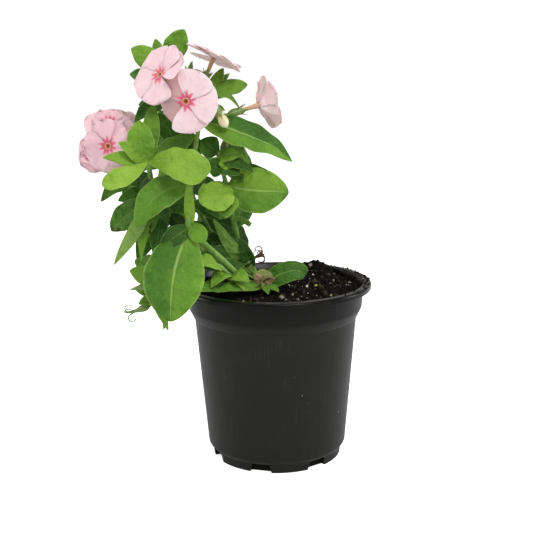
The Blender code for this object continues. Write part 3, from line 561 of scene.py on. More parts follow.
def leafMaterial():
    # place: -1 to 1 across, 0 to 1 along, and the side veins' phase
    # traits: tone, with its painted shade, wear, and half of rib, or 1 on the underside
    look = leafLook
    material, tree, shader, here = newMaterial(
        "leafGreen", Subsurface_Weight=0.12, Subsurface_Radius=(0.5, 1.0, 0.15), Subsurface_Scale=0.0012,
        Specular_IOR_Level=0.18)
    offMiddle, along, phase = readParts(tree, "place")
    ownTone, wear, third = readParts(tree, "traits")
    across = calc(tree, "ABSOLUTE", offMiddle)
    broad = grainOf(tree, here, look["mottleScale"], 3.0)
    fine = grainOf(tree, here, look["fineScale"], 3.0, 0.6)
    tone = plus(tree, ownTone, about(tree, broad, look["mottle"] * 2))
    tone = plus(tree, tone, about(tree, fine, look["mottle"]))
    tone = plus(tree, tone, between(tree, along, 0.0, 0.25, 0.08, 0.0), clamp=True)
    # the lowest tones are painted shade on leaves deep between the stems
    colour = ramp(tree, tone, look["shades"])
    # midrib, then the side veins that run out from it
    ribHalf = between(tree, along, 0.0, 1.0, *look["ribHalf"])
    rib = between(tree, calc(tree, "DIVIDE", across, ribHalf), 1.6, 0.5)
    offVein = calc(tree, "ABSOLUTE", minus(tree, calc(tree, "FRACT", phase), 0.5))
    side = times(tree, between(tree, offVein, 0.06, 0.0), between(tree, across, 0.92, 0.55))
    plain = times(tree, third, 2.0, clamp=True)
    shown = times(tree, times(tree, rib, plain), look["ribShare"])
    shown = larger(tree, shown, times(tree, side, look["veinShare"]))
    veins = larger(tree, rib, times(tree, side, 0.3))
    colour = blendColour(tree, shown, colour, look["veinColour"])
    edge = times(tree, between(tree, across, 0.90, 1.0), look["edgeShare"])
    colour = blendColour(tree, edge, colour, look["edgeColour"])
    underneath = between(tree, third, 0.6, 0.9, 0.0, look["paleShare"])
    colour = blendColour(tree, underneath, colour, look["paleSide"])
    # spots and a scorched tip where a leaf is worn, and a dry blade where wear is over 1
    blotch = grainOf(tree, here, look["blotchScale"], 4.0, 0.6)
    spotted = between(tree, plus(tree, blotch, times(tree, wear, 0.16)), 0.70, 0.76)
    spotted = times(tree, spotted, between(tree, wear, 0.05, 0.3))
    tip = times(tree, between(tree, along, 0.86, 1.0), times(tree, wear, 1.2))
    margin = times(tree, between(tree, across, 0.8, 1.0), times(tree, wear, 0.5))
    dead = larger(tree, spotted, larger(tree, tip, times(tree, margin, blotch)), clamp=True)
    colour = blendColour(tree, between(tree, wear, 1.1, 2.0), colour, look["dryColour"])
    dead = times(tree, dead, between(tree, wear, 1.0, 1.5, 1.0, 0.25))
    colour = blendColour(tree, dead, colour, look["spotColour"])
    relief = minus(tree, times(tree, fine, 0.5), times(tree, veins, 0.6))
    folds = bumpOf(tree, grainOf(tree, here, look["crumpleScale"], 2.0, 0.45), look["crumple"],
                   look["crumpleHeight"])
    drive(tree, shader, Base_Color=colour, Roughness=roughOf(tree, fine, look),
          Normal=bumpOf(tree, relief, look["relief"], look["reliefHeight"], folds))
    return material


def leafHalf(u, item):  # half the width along the leaf
    power = math.log(0.5) / math.log(item["widest"])
    half = item["width"] / 2 * np.sin(np.pi * u ** power).clip(0) ** item["full"]
    return np.maximum(np.maximum(half, leafShape["root"] * (1 - u)), leafShape["leastHalf"])


def addLeaf(stock, base, item, rng):
    shape = leafShape
    chord = np.array(item["tip"], float) - base
    length = np.linalg.norm(chord)
    ahead = chord / length
    up = squareTo(heading(*item["face"]), ahead)
    side = np.cross(up, ahead)
    rows = int(np.clip(length / shape["fineness"], 14, 56)) + 1
    columns = int(np.clip(item["width"] / shape["fineness"], 8, 26)) // 2 * 2 + 1
    u = 1 - (1 - np.linspace(0, 1, rows)) ** 1.5   # closer together at the tip
    v = fromEdges(columns)
    bow = (np.sin(np.pi * u) * length)[:, None]
    centre = base + chord * u[:, None] + up * item["arch"] * bow + side * item["sway"] * bow
    start = shape["hookFrom"]
    centre[:, 2] -= item["hook"] * length * (np.maximum(0, u - start) / (1 - start)) ** 2
    way = unit(np.gradient(centre, axis=0))
    flat = squareTo(np.broadcast_to(up, way.shape), way)
    lean = np.radians(rng.uniform(-1, 1) * shape["twist"]) * (u - 0.35)
    sideways = np.cross(flat, way)
    flat, sideways = (flat * np.cos(lean)[:, None] + sideways * np.sin(lean)[:, None],
                      sideways * np.cos(lean)[:, None] - flat * np.sin(lean)[:, None])
    uu, vv = np.meshgrid(u, v, indexing="ij")
    hh = leafHalf(u, item)[:, None]
    fold = math.radians(item["fold"])
    reach = np.abs(vv) * hh
    # the V of the two halves, with the margins easing down again
    rise = hh * math.sin(fold) * (np.sqrt(vv ** 2 + 0.02) - 0.14) - shape["curl"] * hh * vv ** 4
    # waves along the margins, which differ from one half to the other
    waves = rng.uniform(*shape["waveCount"]) + length / shape["waveLength"]
    phases = [rng.uniform(0, 1), rng.uniform(0, 1)]
    turn = np.where(vv > 0, phases[0], phases[1])
    wide = min(1.0, item["width"] / shape["fullWidth"])
    wavy = shape["wave"] * item["ripple"] * wide * vv ** 2 * np.sin(np.pi * uu) ** 0.5
    rise += hh * wavy * np.sin(math.tau * (uu * waves + turn))
    # side veins leave the midrib and lean towards the tip, and the skin swells between them
    spacing = shape["veinSpacing"] * max(0.6, min(1.25, item["width"] / shape["veinWidth"]))
    phase = (uu * length - reach * shape["veinLean"] - 0.25 * reach * np.abs(vv)) / spacing
    phase = phase + rng.uniform(0, 1)
    swell = np.abs(np.sin(np.pi * (phase - 0.5)))
    fade = np.sin(np.pi * np.clip(np.abs(vv) * 0.9 + 0.08, 0, 1)) * np.sin(np.pi * uu) ** 0.6
    rise += shape["quilt"] * wide * (swell - 0.6) * fade
    groove = np.exp(-(reach / shape["ribWidth"]) ** 2) * (1 - 0.7 * uu)
    shift = rng.uniform(0, 50)
    points = centre[:, None, :] + sideways[:, None, :] * (vv * hh * math.cos(fold))[..., None]
    for size, tall in shape["bumps"]:
        drift = [noise.noise(Vector(p / size) + Vector((shift, size, 0))) for p in points.reshape(-1, 3)]
        uneven = tall * item["ripple"] * np.minimum(1, hh / 4) * (0.35 + 0.65 * np.abs(vv))
        rise += np.array(drift).reshape(rise.shape) * uneven
    thick = np.minimum(shape["thickness"] + (shape["edgeThickness"] - shape["thickness"]) * vv ** 2,
                       0.12 + 0.3 * hh)
    high = rise + thick / 2 - 0.6 * shape["ribDepth"] * groove
    low = rise - thick / 2 - shape["ribDepth"] * groove
    # painted light and shade: one half of the leaf lighter than the other by the half shade
    tone = item["tone"] + item["split"] * np.tanh(vv * 4) + rng.uniform(-1, 1) * shape["toneSpread"]
    addBlade(stock, points, flat, high, low, (vv, uu, phase), (tone, item["wear"], item["rib"] / 2))


# Stems, stalks and calyces

stemLook = dict(
    colour=(0.09, 0.21, 0.025), pale=(0.21, 0.35, 0.075), dull=(0.10, 0.075, 0.03),
    roughness=0.45, roughSpread=0.2, lineScale=900.0, lineStretch=0.16, patchScale=110.0,
)
stemShape = dict(
    sides=12, spacing=1.6, nodeSwell=0.35, nodeReach=2.2, dullnessAndShade=0.3,
    stubRadius=(1.3, 1.6), stubEnd=1.35, stubPoints=12,
)
calyxLook = dict(
    rib=(0.085, 0.2, 0.02), skin=(0.26, 0.36, 0.1), toothTip=(0.2, 0.13, 0.05), mottle=(0.05, 0.11, 0.015),
    tipShare=0.45, mottleShare=0.35, mottleScale=1300.0,
)
calyxShape = dict(
    length=8.0, tooth=4.0, freePart=1.2, floor=1.4, wall=0.22, slack=0.2, ribTall=0.13, sides=40,
    openRows=[(0.0, 1.0), (0.1, 1.55), (0.3, 2.05), (0.55, 2.15), (0.8, 2.0), (1.0, 2.1)],   # height, radius
    closedRows=[(0.0, 0.95), (0.12, 1.6), (0.35, 2.0), (0.6, 1.95), (0.85, 1.7), (1.0, 1.35)],
    openMouth=2.1, closedMouth=1.35, closedTip=0.12,
)
pedicelShape = dict(radius=0.8, points=14, sides=9, bend=0.4, overlap=0.5)
threadShape = dict(
    radii=(0.45, 0.26), sides=6, reach=(3, 4.5), curl=(1.6, 2.3), turn=(0.25, 4.6), lean=0.25,
    straight=6, curled=13,   # points along the straight part and the curl
)
driedLook = dict(dark=(0.02, 0.01, 0.005), light=(0.13, 0.07, 0.03), grain=700.0)
driedShape = dict(radii=(0.5, 0.2), points=10, sides=6)
driedBits = [  # stem, then the start, the bend and the end of each curled thread
    ("stem_front", (-45, -8, 219), (-42, -9, 224), (-37, -11, 219.5)),
    ("stem_front", (-38, -10, 206), (-36, -11, 215), (-40, -13, 221)),
    ("basal_tuft", (-8, -6, 102), (-11, -9, 106), (-14, -12, 104)),
    ("basal_tuft", (-7, -6, 102), (-4, -9, 108), (1, -12, 104)),
    ("basal_tuft", (-8, -6, 101.5), (-9, -14, 103), (-15, -17, 99)),
]
flowerTube = dict(radius=1.25, visible=10.0, eyeRadius=1.85, sides=30, gap=0.3)
stalkSlots = dict(green=0, calyx=1, dried=2)


def stemMaterial():
    # traits: the second number is how dull the skin turns in patches
    look = stemLook
    material, tree, shader, here = newMaterial(
        "stemGreen", Sheen_Weight=0.08, Sheen_Roughness=0.4, Specular_IOR_Level=0.25)
    dullnessAndShade = readParts(tree, "traits")[1]
    drawn = firstOf(tree, "ShaderNodeMapping", {"Vector": here, "Scale": (1.0, 1.0, look["lineStretch"])})
    lines = grainOf(tree, drawn, look["lineScale"], 3.0, 0.6)
    patches = grainOf(tree, here, look["patchScale"], 3.0)
    share = plus(tree, times(tree, lines, 0.5), times(tree, patches, 0.6))
    colour = blendColour(tree, between(tree, share, 0.35, 0.75), look["colour"], look["pale"])
    dull = times(tree, between(tree, patches, 0.55, 0.7), dullnessAndShade)
    colour = blendColour(tree, dull, colour, look["dull"])
    drive(tree, shader, Base_Color=colour, Roughness=roughOf(tree, lines, look),
          Normal=bumpOf(tree, lines, 0.4, 0.0003))
    return material


def calyxMaterial():
    # traits: 1 on a rib, then the share of the height from the foot to the tips of the teeth
    look = calyxLook
    material, tree, shader, here = newMaterial(
        "calyxGreen", Roughness=0.5, Subsurface_Weight=0.1, Subsurface_Radius=(0.5, 1.0, 0.15),
        Subsurface_Scale=0.0008)
    traits = readParts(tree, "traits")
    fine = grainOf(tree, here, look["mottleScale"], 2.0)
    colour = blendColour(tree, traits[0], look["skin"], look["rib"])
    tip = times(tree, between(tree, traits[1], 0.75, 1.05), look["tipShare"])
    colour = blendColour(tree, tip, colour, look["toothTip"])
    colour = blendColour(tree, times(tree, fine, look["mottleShare"]), colour, look["mottle"])
    drive(tree, shader, Base_Color=colour, Normal=bumpOf(tree, fine, 0.3, 0.0003))
    return material


def driedMaterial():
    look = driedLook
    material, tree, shader, here = newMaterial("driedBrown", Roughness=0.7)
    fine = grainOf(tree, here, look["grain"], 2.0)
    drive(tree, shader, Base_Color=blendColour(tree, fine, look["dark"], look["light"]))
    return material


def addStem(stock, spec):
    shape = stemShape
    curve = smoothRoute(spec["route"], 12)
    length = np.linalg.norm(np.diff(curve, axis=0), axis=1).sum()
    count = int(length / shape["spacing"]) + 2
    thick, thin = spec["radius"]
    share = np.linspace(0, 1, count)
    radii = thick + (thin - thick) * share
    for item in spec["leaves"]:  # a stem is a little thicker where leaves stand
        gap = (share - min(item["at"], 1)) * length / shape["nodeReach"]
        radii = radii + shape["nodeSwell"] * np.exp(-gap ** 2)
    radii = np.minimum(radii, thick + shape["nodeSwell"])
    radii[-1] *= 0.5
    skin = (0, shape["dullnessAndShade"], 0)
    addShape(stock, *tubeShape(evenPoints(curve, count), radii, shape["sides"]), traits=skin)
    if "stub" in spec:
        at, bend, end = spec["stub"]
        radii = np.linspace(*shape["stubRadius"], shape["stubPoints"])
        radii[-1] = shape["stubEnd"]
        curve = bezier(station(spec, at), bend, end, shape["stubPoints"])
        addShape(stock, *tubeShape(curve, radii, shape["sides"]), traits=skin)


def calyxAxes(ahead):
    side = squareTo(np.array((0, 0.3, 1.0)), ahead)
    return side, np.cross(ahead, side)


def addCalyx(stock, mouth, ahead, isOpen):
    shape = calyxShape
    foot, top = -shape["length"], -shape["freePart"]
    angles = evenAngles(shape["sides"])
    ribs = 0.5 + 0.5 * np.cos(angles * 10)
    rows = []  # radius, height and share of the height, from the foot up
    for share, radius in shape["openRows" if isOpen else "closedRows"]:
        rib = shape["ribTall"] * ribs * math.sin(math.pi * share)
        rows.append((radius + rib, foot + (top - foot) * share, 0.7 * share))
    tooth = np.abs(((angles * 5 / math.tau + 0.5) % 1) * 2 - 1) ** 1.3   # 1 at each of five tips
    for share in (0.33, 0.66, 1.0):  # the free part: teeth on an open one, a closed point on a bud
        if isOpen:
            rise = shape["tooth"] * tooth * share
            radius = shape["openMouth"] + rise * (0.16 + 0.12 * share)
        else:
            rise = (shape["tooth"] + shape["freePart"]) * share
            radius = shape["closedMouth"] * (1 - share) + shape["closedTip"]
        rows.append((radius, top + rise, 0.7 + 0.3 * share))
    if isOpen:  # over the teeth and down inside
        radius, height, _ = rows[-1]
        inner = flowerTube["radius"] + shape["slack"]
        rows += [(radius - shape["wall"], height - 0.1 * tooth, 1.0), (inner, -1.5, 0.6),
                 (inner, foot + shape["floor"], 0.0)]
    points = np.vstack([ringAt(angles, radius, height) for radius, height, _ in rows])
    traits = np.vstack([np.stack([ribs, ribs * 0 + share, ribs * 0], axis=1) for _, _, share in rows])
    points = setAlong(points, mouth, *calyxAxes(ahead), ahead)
    addShape(stock, points, ringFaces(len(rows), shape["sides"]), traits=traits, slot=stalkSlots["calyx"])


def addPedicel(stock, start, mouth, ahead):
    shape = pedicelShape
    end = mouth - ahead * (calyxShape["length"] - shape["overlap"])
    bend = end - ahead * np.linalg.norm(end - start) * shape["bend"]
    radii = np.linspace(1.0, 0.9, shape["points"]) * shape["radius"]
    radii[-2:] = (1.0, 1.1)
    curve = bezier(start, bend, end, shape["points"])
    addShape(stock, *tubeShape(curve, radii, shape["sides"]))


def addThreads(stock, mouth, ahead, count, slot, rng):
    # what a spent flower leaves behind: thin curled threads
    shape = threadShape
    straight, curled = shape["straight"], shape["curled"]
    side, up = calyxAxes(ahead)
    for k in range(count):
        turn = math.tau * (k + rng.uniform(-0.3, 0.3)) / count
        out = side * math.cos(turn) + up * math.sin(turn)
        reach = rng.uniform(*shape["reach"])
        curl = rng.uniform(*shape["curl"])
        rise = np.concatenate([np.linspace(-0.15, 1, straight) * reach, np.full(curled, reach)])
        bend = np.concatenate([np.zeros(straight), np.linspace(*shape["turn"], curled)])
        lean = rise * shape["lean"] + curl * (1 - np.cos(bend))
        curve = mouth + ahead * (rise + curl * np.sin(bend))[:, None] + out * lean[:, None]
        radii = np.linspace(*shape["radii"], straight + curled)
        addShape(stock, *tubeShape(curve, radii, shape["sides"]), slot=slot)


def stalksOf(name):  # each stalk's item, its calyx's mouth, and whether that calyx is open
    found = []
    for item in blooms.values():
        mouth = np.array(item["centre"]) - heading(*item["face"]) * flowerTube["visible"]
        found.append((item, mouth, True))
    found.append((creamBud, np.array(creamBud["mouth"], float), True))
    found += [(item, np.array(item["mouth"], float), False) for item in greenCalyces]
    return [entry for entry in found if entry[0]["holder"] == name]


def buildStems(leafGreen, stemGreen, calyxGreen, driedBrown):
    made = {}
    for node, own in stems.items():
        if "holder" in own:  # a branch is built with its stem
            continue
        rng = random.Random(node)
        leaves, stalks = newStock(), newStock()
        group = [(node, own)] + [(name, spec) for name, spec in stems.items() if spec.get("holder") == node]
        for name, spec in group:
            addStem(stalks, spec)
            for item in spec["leaves"]:
                addLeaf(leaves, station(spec, item["at"]), item, rng)
            for item, mouth, isOpen in stalksOf(name):
                ahead = heading(*item["face"])
                addCalyx(stalks, mouth, ahead, isOpen)
                addPedicel(stalks, station(spec, item["at"]), mouth, ahead)
                slot = stalkSlots["dried" if item.get("dry") else "green"]
                addThreads(stalks, mouth, ahead, item.get("spent", 0), slot, rng)
        for holder, *marks in driedBits:
            if holder == node:
                curve = bezier(*marks, driedShape["points"])
                radii = np.linspace(*driedShape["radii"], driedShape["points"])
                addShape(stalks, *tubeShape(curve, radii, driedShape["sides"]), slot=stalkSlots["dried"])
        made[node] = (buildPiece("leaves_" + node, leaves, [leafGreen]),
                      buildPiece("stalks_" + node, stalks, [stemGreen, calyxGreen, driedBrown]))
        for piece in made[node]:
            finishPiece(piece, "foliage", node)
    return made


# Blooms

petalLook = dict(  # distances from the eye's middle in mm
    # rosy: the darker rosy colour of the painted shade on petals that lie in shade
    pink=(0.77, 0.495, 0.535), pale=(0.85, 0.64, 0.66), blush=(0.71, 0.41, 0.45), rosyShade=(0.42, 0.16, 0.15),
    under=(0.82, 0.64, 0.58), star=(0.60, 0.075, 0.14), starTip=(0.76, 0.25, 0.34),
    starAngle=0.30, starReach=5.75, starWidth=1.5, starPower=0.34, starRagged=1.6, raggedScale=700.0,
    starFade=(2.6, 6.0), starEdge=(-0.12, 0.34), haloFade=(9.0, 3.0), haloShare=0.28, ringEdge=(2.1, 1.8),
    fanScale=2.2, fanTurns=9.0, cloudScale=160.0, fineScale=1500.0,
    roughness=0.5, roughSpread=0.2,
)
petalShape = dict(
    start=1.6, width=0.60, widest=0.72, claw=0.15, turn=6.5, thickness=0.4, rows=26, columns=21,
    leastHalf=0.25, droop=0.05, crease=0.018, rimTurn=0.2, rimWave=0.016, notch=0.015,
    # waves: height, how they grow outwards, and how many go across and along the petal
    waves=[(0.024, 1.5, 0.9, 0.0), (0.016, 2, 2.1, 0.7), (0.012, 3, 3.6, 0.0)],
    innerLifts=(34, 26, 38, 22, 30), innerTurn=36, innerRuffle=2.6,
)
eyeLook = dict(
    # depth: the colour of the painted shade deep down the throat
    ring=(0.68, 0.34, 0.24), throat=(0.40, 0.11, 0.035), throatShade=(0.26, 0.06, 0.02),
    tube=(0.44, 0.29, 0.11), tubePink=(0.55, 0.30, 0.22), pollen=(0.55, 0.32, 0.14),
    pollenShare=0.3, pollenScale=1400.0,
)


def petalMaterial():
    # place: across and out from the eye's middle, in mm
    # traits: blush, the painted shade of petals that lie in shade, and 1 on the underside
    look = petalLook
    material, tree, shader, here = newMaterial(
        "petalPink", Subsurface_Weight=0.45, Subsurface_Radius=(1.0, 0.7, 0.7), Subsurface_Scale=0.002,
        Sheen_Weight=0.12, Sheen_Roughness=0.5)
    across, out, _ = readParts(tree, "place")
    blush, dullnessAndShade, under = readParts(tree, "traits")
    far = calc(tree, "SQRT", plus(tree, times(tree, across, across), times(tree, out, out)))
    angle = calc(tree, "ARCTAN2", calc(tree, "ABSOLUTE", across), out)
    # fine streaks fan out from the eye
    fan = vectorOf(tree, times(tree, calc(tree, "ARCTAN2", across, out), look["fanTurns"]),
                   times(tree, far, 0.10), blush)
    streaks = grainOf(tree, fan, look["fanScale"], 3.0, 0.6)
    cloud = grainOf(tree, here, look["cloudScale"], 2.0)
    fine = grainOf(tree, here, look["fineScale"], 2.0)
    share = plus(tree, times(tree, streaks, 0.6), times(tree, cloud, 0.5))
    colour = blendColour(tree, between(tree, share, 0.35, 0.75), look["pink"], look["pale"])
    colour = blendColour(tree, blush, colour, look["blush"])
    halo = times(tree, between(tree, far, *look["haloFade"]), look["haloShare"])
    colour = blendColour(tree, halo, colour, look["blush"])
    # painted shade: a darker rosy tone on the petals that lie in shade
    colour = blendColour(tree, dullnessAndShade, colour, look["rosyShade"])
    # two dark rays on each petal, ragged at their edges
    ragged = about(tree, grainOf(tree, here, look["raggedScale"], 2.0), look["starRagged"])
    left = minus(tree, 1.0, calc(tree, "DIVIDE", plus(tree, far, ragged), look["starReach"]))
    left = calc(tree, "POWER", larger(tree, left, 0.0), look["starPower"])
    off = times(tree, calc(tree, "ABSOLUTE", minus(tree, angle, look["starAngle"])), far)
    ray = between(tree, minus(tree, times(tree, left, look["starWidth"]), off), *look["starEdge"])
    star = blendColour(tree, between(tree, far, *look["starFade"]), look["star"], look["starTip"])
    colour = blendColour(tree, times(tree, ray, between(tree, under, 0.6, 0.3)), colour, star)
    colour = blendColour(tree, between(tree, far, *look["ringEdge"]), colour, eyeLook["ring"])
    # the underside is paler, the less the more a flower blushes
    back = blendColour(tree, between(tree, share, 0.35, 0.7), look["under"], look["pale"])
    paler = minus(tree, 0.8, times(tree, blush, 0.6))
    colour = blendColour(tree, times(tree, under, paler), colour, back)
    height = plus(tree, times(tree, streaks, 0.8), times(tree, fine, 0.3))
    drive(tree, shader, Base_Color=colour, Roughness=roughOf(tree, fine, look),
          Normal=bumpOf(tree, height, 0.3, 0.0005))
    return material


def eyeMaterial():
    # place: distance from the eye's axis, height along it, and 1 inside the throat
    look = eyeLook
    material, tree, shader, here = newMaterial("flowerEye", Roughness=0.5)
    distance, height, inside = readParts(tree, "place")
    fine = grainOf(tree, here, look["pollenScale"], 2.0)
    tube = blendColour(tree, between(tree, height, -7.0, -1.0), look["tube"], look["tubePink"])
    face = blendColour(tree, between(tree, distance, 1.3, 1.65), look["throat"], look["ring"])
    # painted shade: darker deeper down the throat
    face = blendColour(tree, between(tree, height, -0.4, -2.4), face, look["throatShade"])
    colour = blendColour(tree, inside, tube, face)
    colour = blendColour(tree, times(tree, fine, look["pollenShare"]), colour, look["pollen"])
    drive(tree, shader, Base_Color=colour, Normal=bumpOf(tree, fine, 0.3, 0.0003))
    return material


def bloomAxes(item):  # side, up and ahead, with ahead out of the flower's face
    ahead = heading(*item["face"])
    side = unit(np.cross((0, 0, 1.0), ahead))
    return side, np.cross(ahead, side), ahead


def addPetal(stock, item, k, rng):
    shape = petalShape
    side, up, ahead = bloomAxes(item)
    radius = item["radius"]
    angle = math.radians(item["spin"] - 72 * k + item["turns"][k])
    out = side * math.cos(angle) + up * math.sin(angle)
    edge = np.cross(ahead, out)
    u = np.sin(np.linspace(0, 1, shape["rows"]) * math.pi / 2)
    v = fromEdges(shape["columns"])
    far = shape["start"] + (radius - shape["start"]) * u
    bend = math.radians(item["lifts"][k]) * np.minimum(1, u / 0.3)
    centre = np.array(item["centre"]) + out * (far * np.cos(bend))[:, None]
    centre = centre + ahead * (far * np.sin(bend))[:, None]
    turn = math.radians(shape["turn"])   # each petal tucks under the next
    flat = ahead * np.cos(bend)[:, None] - out * np.sin(bend)[:, None]
    flat = flat * math.cos(turn) + edge * math.sin(turn)
    way = unit(np.gradient(centre, axis=0))
    flat = squareTo(flat, way)
    sideways = np.cross(flat, way)
    widest, point = shape["widest"], item["point"]
    rising = shape["claw"] + (1 - shape["claw"]) * np.sin(np.pi / 2 * np.minimum(1, u / widest))
    beyond = np.maximum(0, (u - widest) / (1 - widest))
    ending = np.sqrt(np.maximum(0, 1 - beyond ** 2)) * (1 - point) + (1 - beyond) * point
    half = np.where(u < widest, rising, ending) * radius * shape["width"]
    half = np.maximum(half, shape["leastHalf"])
    uu, vv = np.meshgrid(u, v, indexing="ij")
    phases = [rng.uniform(0, 1) for _ in range(4)]
    rise = -shape["droop"] * radius * np.abs(vv) ** 2.6 * uu   # the side edges lean back
    for (tall, growth, across, along), phase in zip(shape["waves"], phases):
        wave = np.sin(math.tau * (vv * across + uu * along + phase))
        rise += tall * radius * item["ruffle"] * uu ** growth * wave
    rise -= shape["crease"] * radius * np.exp(-(vv / 0.16) ** 2) * np.sin(np.pi * uu)
    rise -= shape["rimTurn"] * radius * np.maximum(0, uu - 0.55) ** 2
    # the rim waves in and out, with a small notch in its middle
    outwards = shape["rimWave"] * np.sin(math.tau * (vv * 1.5 + phases[3]))
    outwards = (outwards - shape["notch"] * np.exp(-(vv / 0.25) ** 2)) * uu ** 3
    across = vv * half[:, None]
    points = centre[:, None, :] + sideways[:, None, :] * across[..., None]
    points = points + way[:, None, :] * (far[:, None] * outwards)[..., None]
    thick = shape["thickness"] * (1 - 0.5 * vv ** 2)
    place = np.broadcast_arrays(across, far[:, None], 0.0)
    blush = max(0.0, item["blush"] + rng.uniform(-0.06, 0.06))
    addBlade(stock, points, flat, rise + thick / 2, rise - thick / 2, place, (blush, item["rosyShade"][k], 0.0))


def addTube(stock, item):
    # rows: radius, height along the axis, and 1 for the throat's colours
    size = flowerTube
    axes = bloomAxes(item)
    end = -size["visible"] - calyxShape["length"] + calyxShape["floor"] + size["gap"]
    thin, eye = size["radius"], size["eyeRadius"]
    rows = [(thin * 0.8, end, 0), (thin * 0.92, end + 4, 0), (thin * 0.88, -6, 0), (thin, -3.4, 0),
            (thin * 1.25, -1.9, 0), (eye * 0.82, -0.8, 0), (eye, -0.15, 0), (eye, 0.12, 0.5),
            (eye * 0.86, 0.32, 1), (eye * 0.66, 0.36, 1), (eye * 0.54, 0.2, 1), (eye * 0.46, -0.3, 1),
            (eye * 0.4, -0.9, 1), (eye * 0.36, -1.5, 1)]
    sides = size["sides"]
    points = np.vstack([ringAt(evenAngles(sides), radius, height) for radius, height, _ in rows])
    addShape(stock, setAlong(points, item["centre"], *axes), ringFaces(len(rows), sides),
             np.repeat(rows, sides, axis=0), slot=1)
    for k, a in enumerate(evenAngles(5)):  # anthers just inside the throat
        root = np.array((0.62 * math.cos(a), 0.62 * math.sin(a), -1.9 + 0.3 * (k % 2)))
        tip = root * (0.7, 0.7, 1) + (0, 0, 1.0)
        seed, faces = tubeShape(np.linspace(root, tip, 4), (0.08, 0.22, 0.22, 0.08), 6)
        addShape(stock, setAlong(seed, item["centre"], *axes), faces, (1.7, 0, 1), slot=1)


def buildBlooms(petalPink, flowerEye):
    for node, item in blooms.items():
        rng = random.Random(node)
        stock = newStock()
        for k in range(5):
            addPetal(stock, item, k, rng)
        if item["inner"]:
            crumpled = dict(item, radius=item["radius"] * item["inner"],
                            spin=item["spin"] + petalShape["innerTurn"],
                            lifts=petalShape["innerLifts"], ruffle=petalShape["innerRuffle"])
            for k in range(5):
                addPetal(stock, crumpled, k, rng)
        addTube(stock, item)
        finishPiece(buildPiece("petals_" + node, stock, [petalPink, flowerEye]), "petals", node)


# Bud

budLook = dict(
    foot=(0.60, 0.58, 0.30), tip=(0.84, 0.81, 0.62), seam=(0.52, 0.34, 0.14), mottle=(0.72, 0.62, 0.40),
    seamShare=0.45, mottleShare=0.25, mottleScale=1200.0,
)
budShape = dict(
    rows=40, sides=50, petals=5, swirl=1.6, seamDepth=0.14, tipHeight=8.7, gap=0.3,
    outline=[(1.15, -2.0), (1.35, 0.4), (2.1, 2.0), (2.75, 3.9), (2.8, 5.4), (2.3, 7.0), (1.3, 8.1),
             (0.35, 8.6)],   # radius and height over the calyx, with the foot below them
    footRadius=1.0,
)


def budMaterial():
    # traits: 1 in the seams of the rolled petals, then the share of the height
    look = budLook
    material, tree, shader, here = newMaterial(
        "budCream", Roughness=0.5, Subsurface_Weight=0.2, Subsurface_Radius=(1.0, 0.8, 0.4),
        Subsurface_Scale=0.001)
    traits = readParts(tree, "traits")
    fine = grainOf(tree, here, look["mottleScale"], 2.0)
    colour = blendColour(tree, between(tree, traits[1], 0.3, 1.0), look["foot"], look["tip"])
    colour = blendColour(tree, times(tree, traits[0], look["seamShare"]), colour, look["seam"])
    colour = blendColour(tree, times(tree, fine, look["mottleShare"]), colour, look["mottle"])
    drive(tree, shader, Base_Color=colour, Normal=bumpOf(tree, fine, 0.2, 0.0003))
    return material


def buildBud(budCream):
    shape = budShape
    ahead = heading(*creamBud["face"])
    foot = -calyxShape["length"] + calyxShape["floor"] + shape["gap"]
    outline = [(shape["footRadius"], foot)] + shape["outline"]
    profile = evenPoints(np.array([(radius, height, 0) for radius, height in outline]), shape["rows"])
    angles = evenAngles(shape["sides"])
    rings, traits = [], []
    for radius, height, _ in profile:
        share = min(1.0, max(0.0, height / shape["tipHeight"]))
        seam = np.abs(np.sin(shape["petals"] / 2 * angles + shape["swirl"] * share)) ** 0.5
        wide = radius * (1 - shape["seamDepth"] * (1 - seam) * min(1.0, share * 3))
        rings.append(ringAt(angles, wide, height))
        traits.append(np.stack([(1 - seam) * share ** 0.3, seam * 0 + share, seam * 0], axis=1))
    stock = newStock()
    points = setAlong(np.vstack(rings), creamBud["mouth"], *calyxAxes(ahead), ahead)
    addShape(stock, points, ringFaces(shape["rows"], shape["sides"]), traits=np.vstack(traits))
    finishPiece(buildPiece("rolled_bud", stock, [budCream]), "bud", "cream_bud")


# Node-made pieces

def newTree(name, inputs):
    # inputs: a kind of socket for each name; returns the tree, its inputs' sockets and their identifiers
    tree = bpy.data.node_groups.new(name, "GeometryNodeTree")
    tree.interface.new_socket("Geometry", in_out="OUTPUT", socket_type="NodeSocketGeometry")
    tree.interface.new_socket("Geometry", in_out="INPUT", socket_type="NodeSocketGeometry")
    names = {}
    for key, kind in inputs.items():
        socket = tree.interface.new_socket(key, in_out="INPUT", socket_type="NodeSocket" + kind)
        names[key] = socket.identifier
    return tree, addNode(tree, "NodeGroupInput").outputs, names


def endTree(tree, geometry, material):
    whole = firstOf(tree, "GeometryNodeRealizeInstances", {0: geometry})
    painted = firstOf(tree, "GeometryNodeSetMaterial", {0: whole, "Material": material})
    addNode(tree, "NodeGroupOutput", {0: painted})


def runTree(name, mesh, tree, names, values):
    # the tree's result on mesh, as a plain mesh in an object of its own
    carrier = linked(name, mesh)
    modifier = carrier.modifiers.new(name, "NODES")
    modifier.node_group = tree
    for key, value in values.items():
        modifier[names[key]] = value
    bpy.context.view_layer.update()
    shown = carrier.evaluated_get(bpy.context.evaluated_depsgraph_get())
    result = bpy.data.meshes.new_from_object(shown)
    carrier.modifiers.remove(modifier)
    carrier.data = result
    result.name = name
    return carrier


def randomNumber(tree, low, high, seed):
    made = addNode(tree, "FunctionNodeRandomValue", {2: low, 3: high, "Seed": seed}, data_type="FLOAT")
    return made.outputs[1]


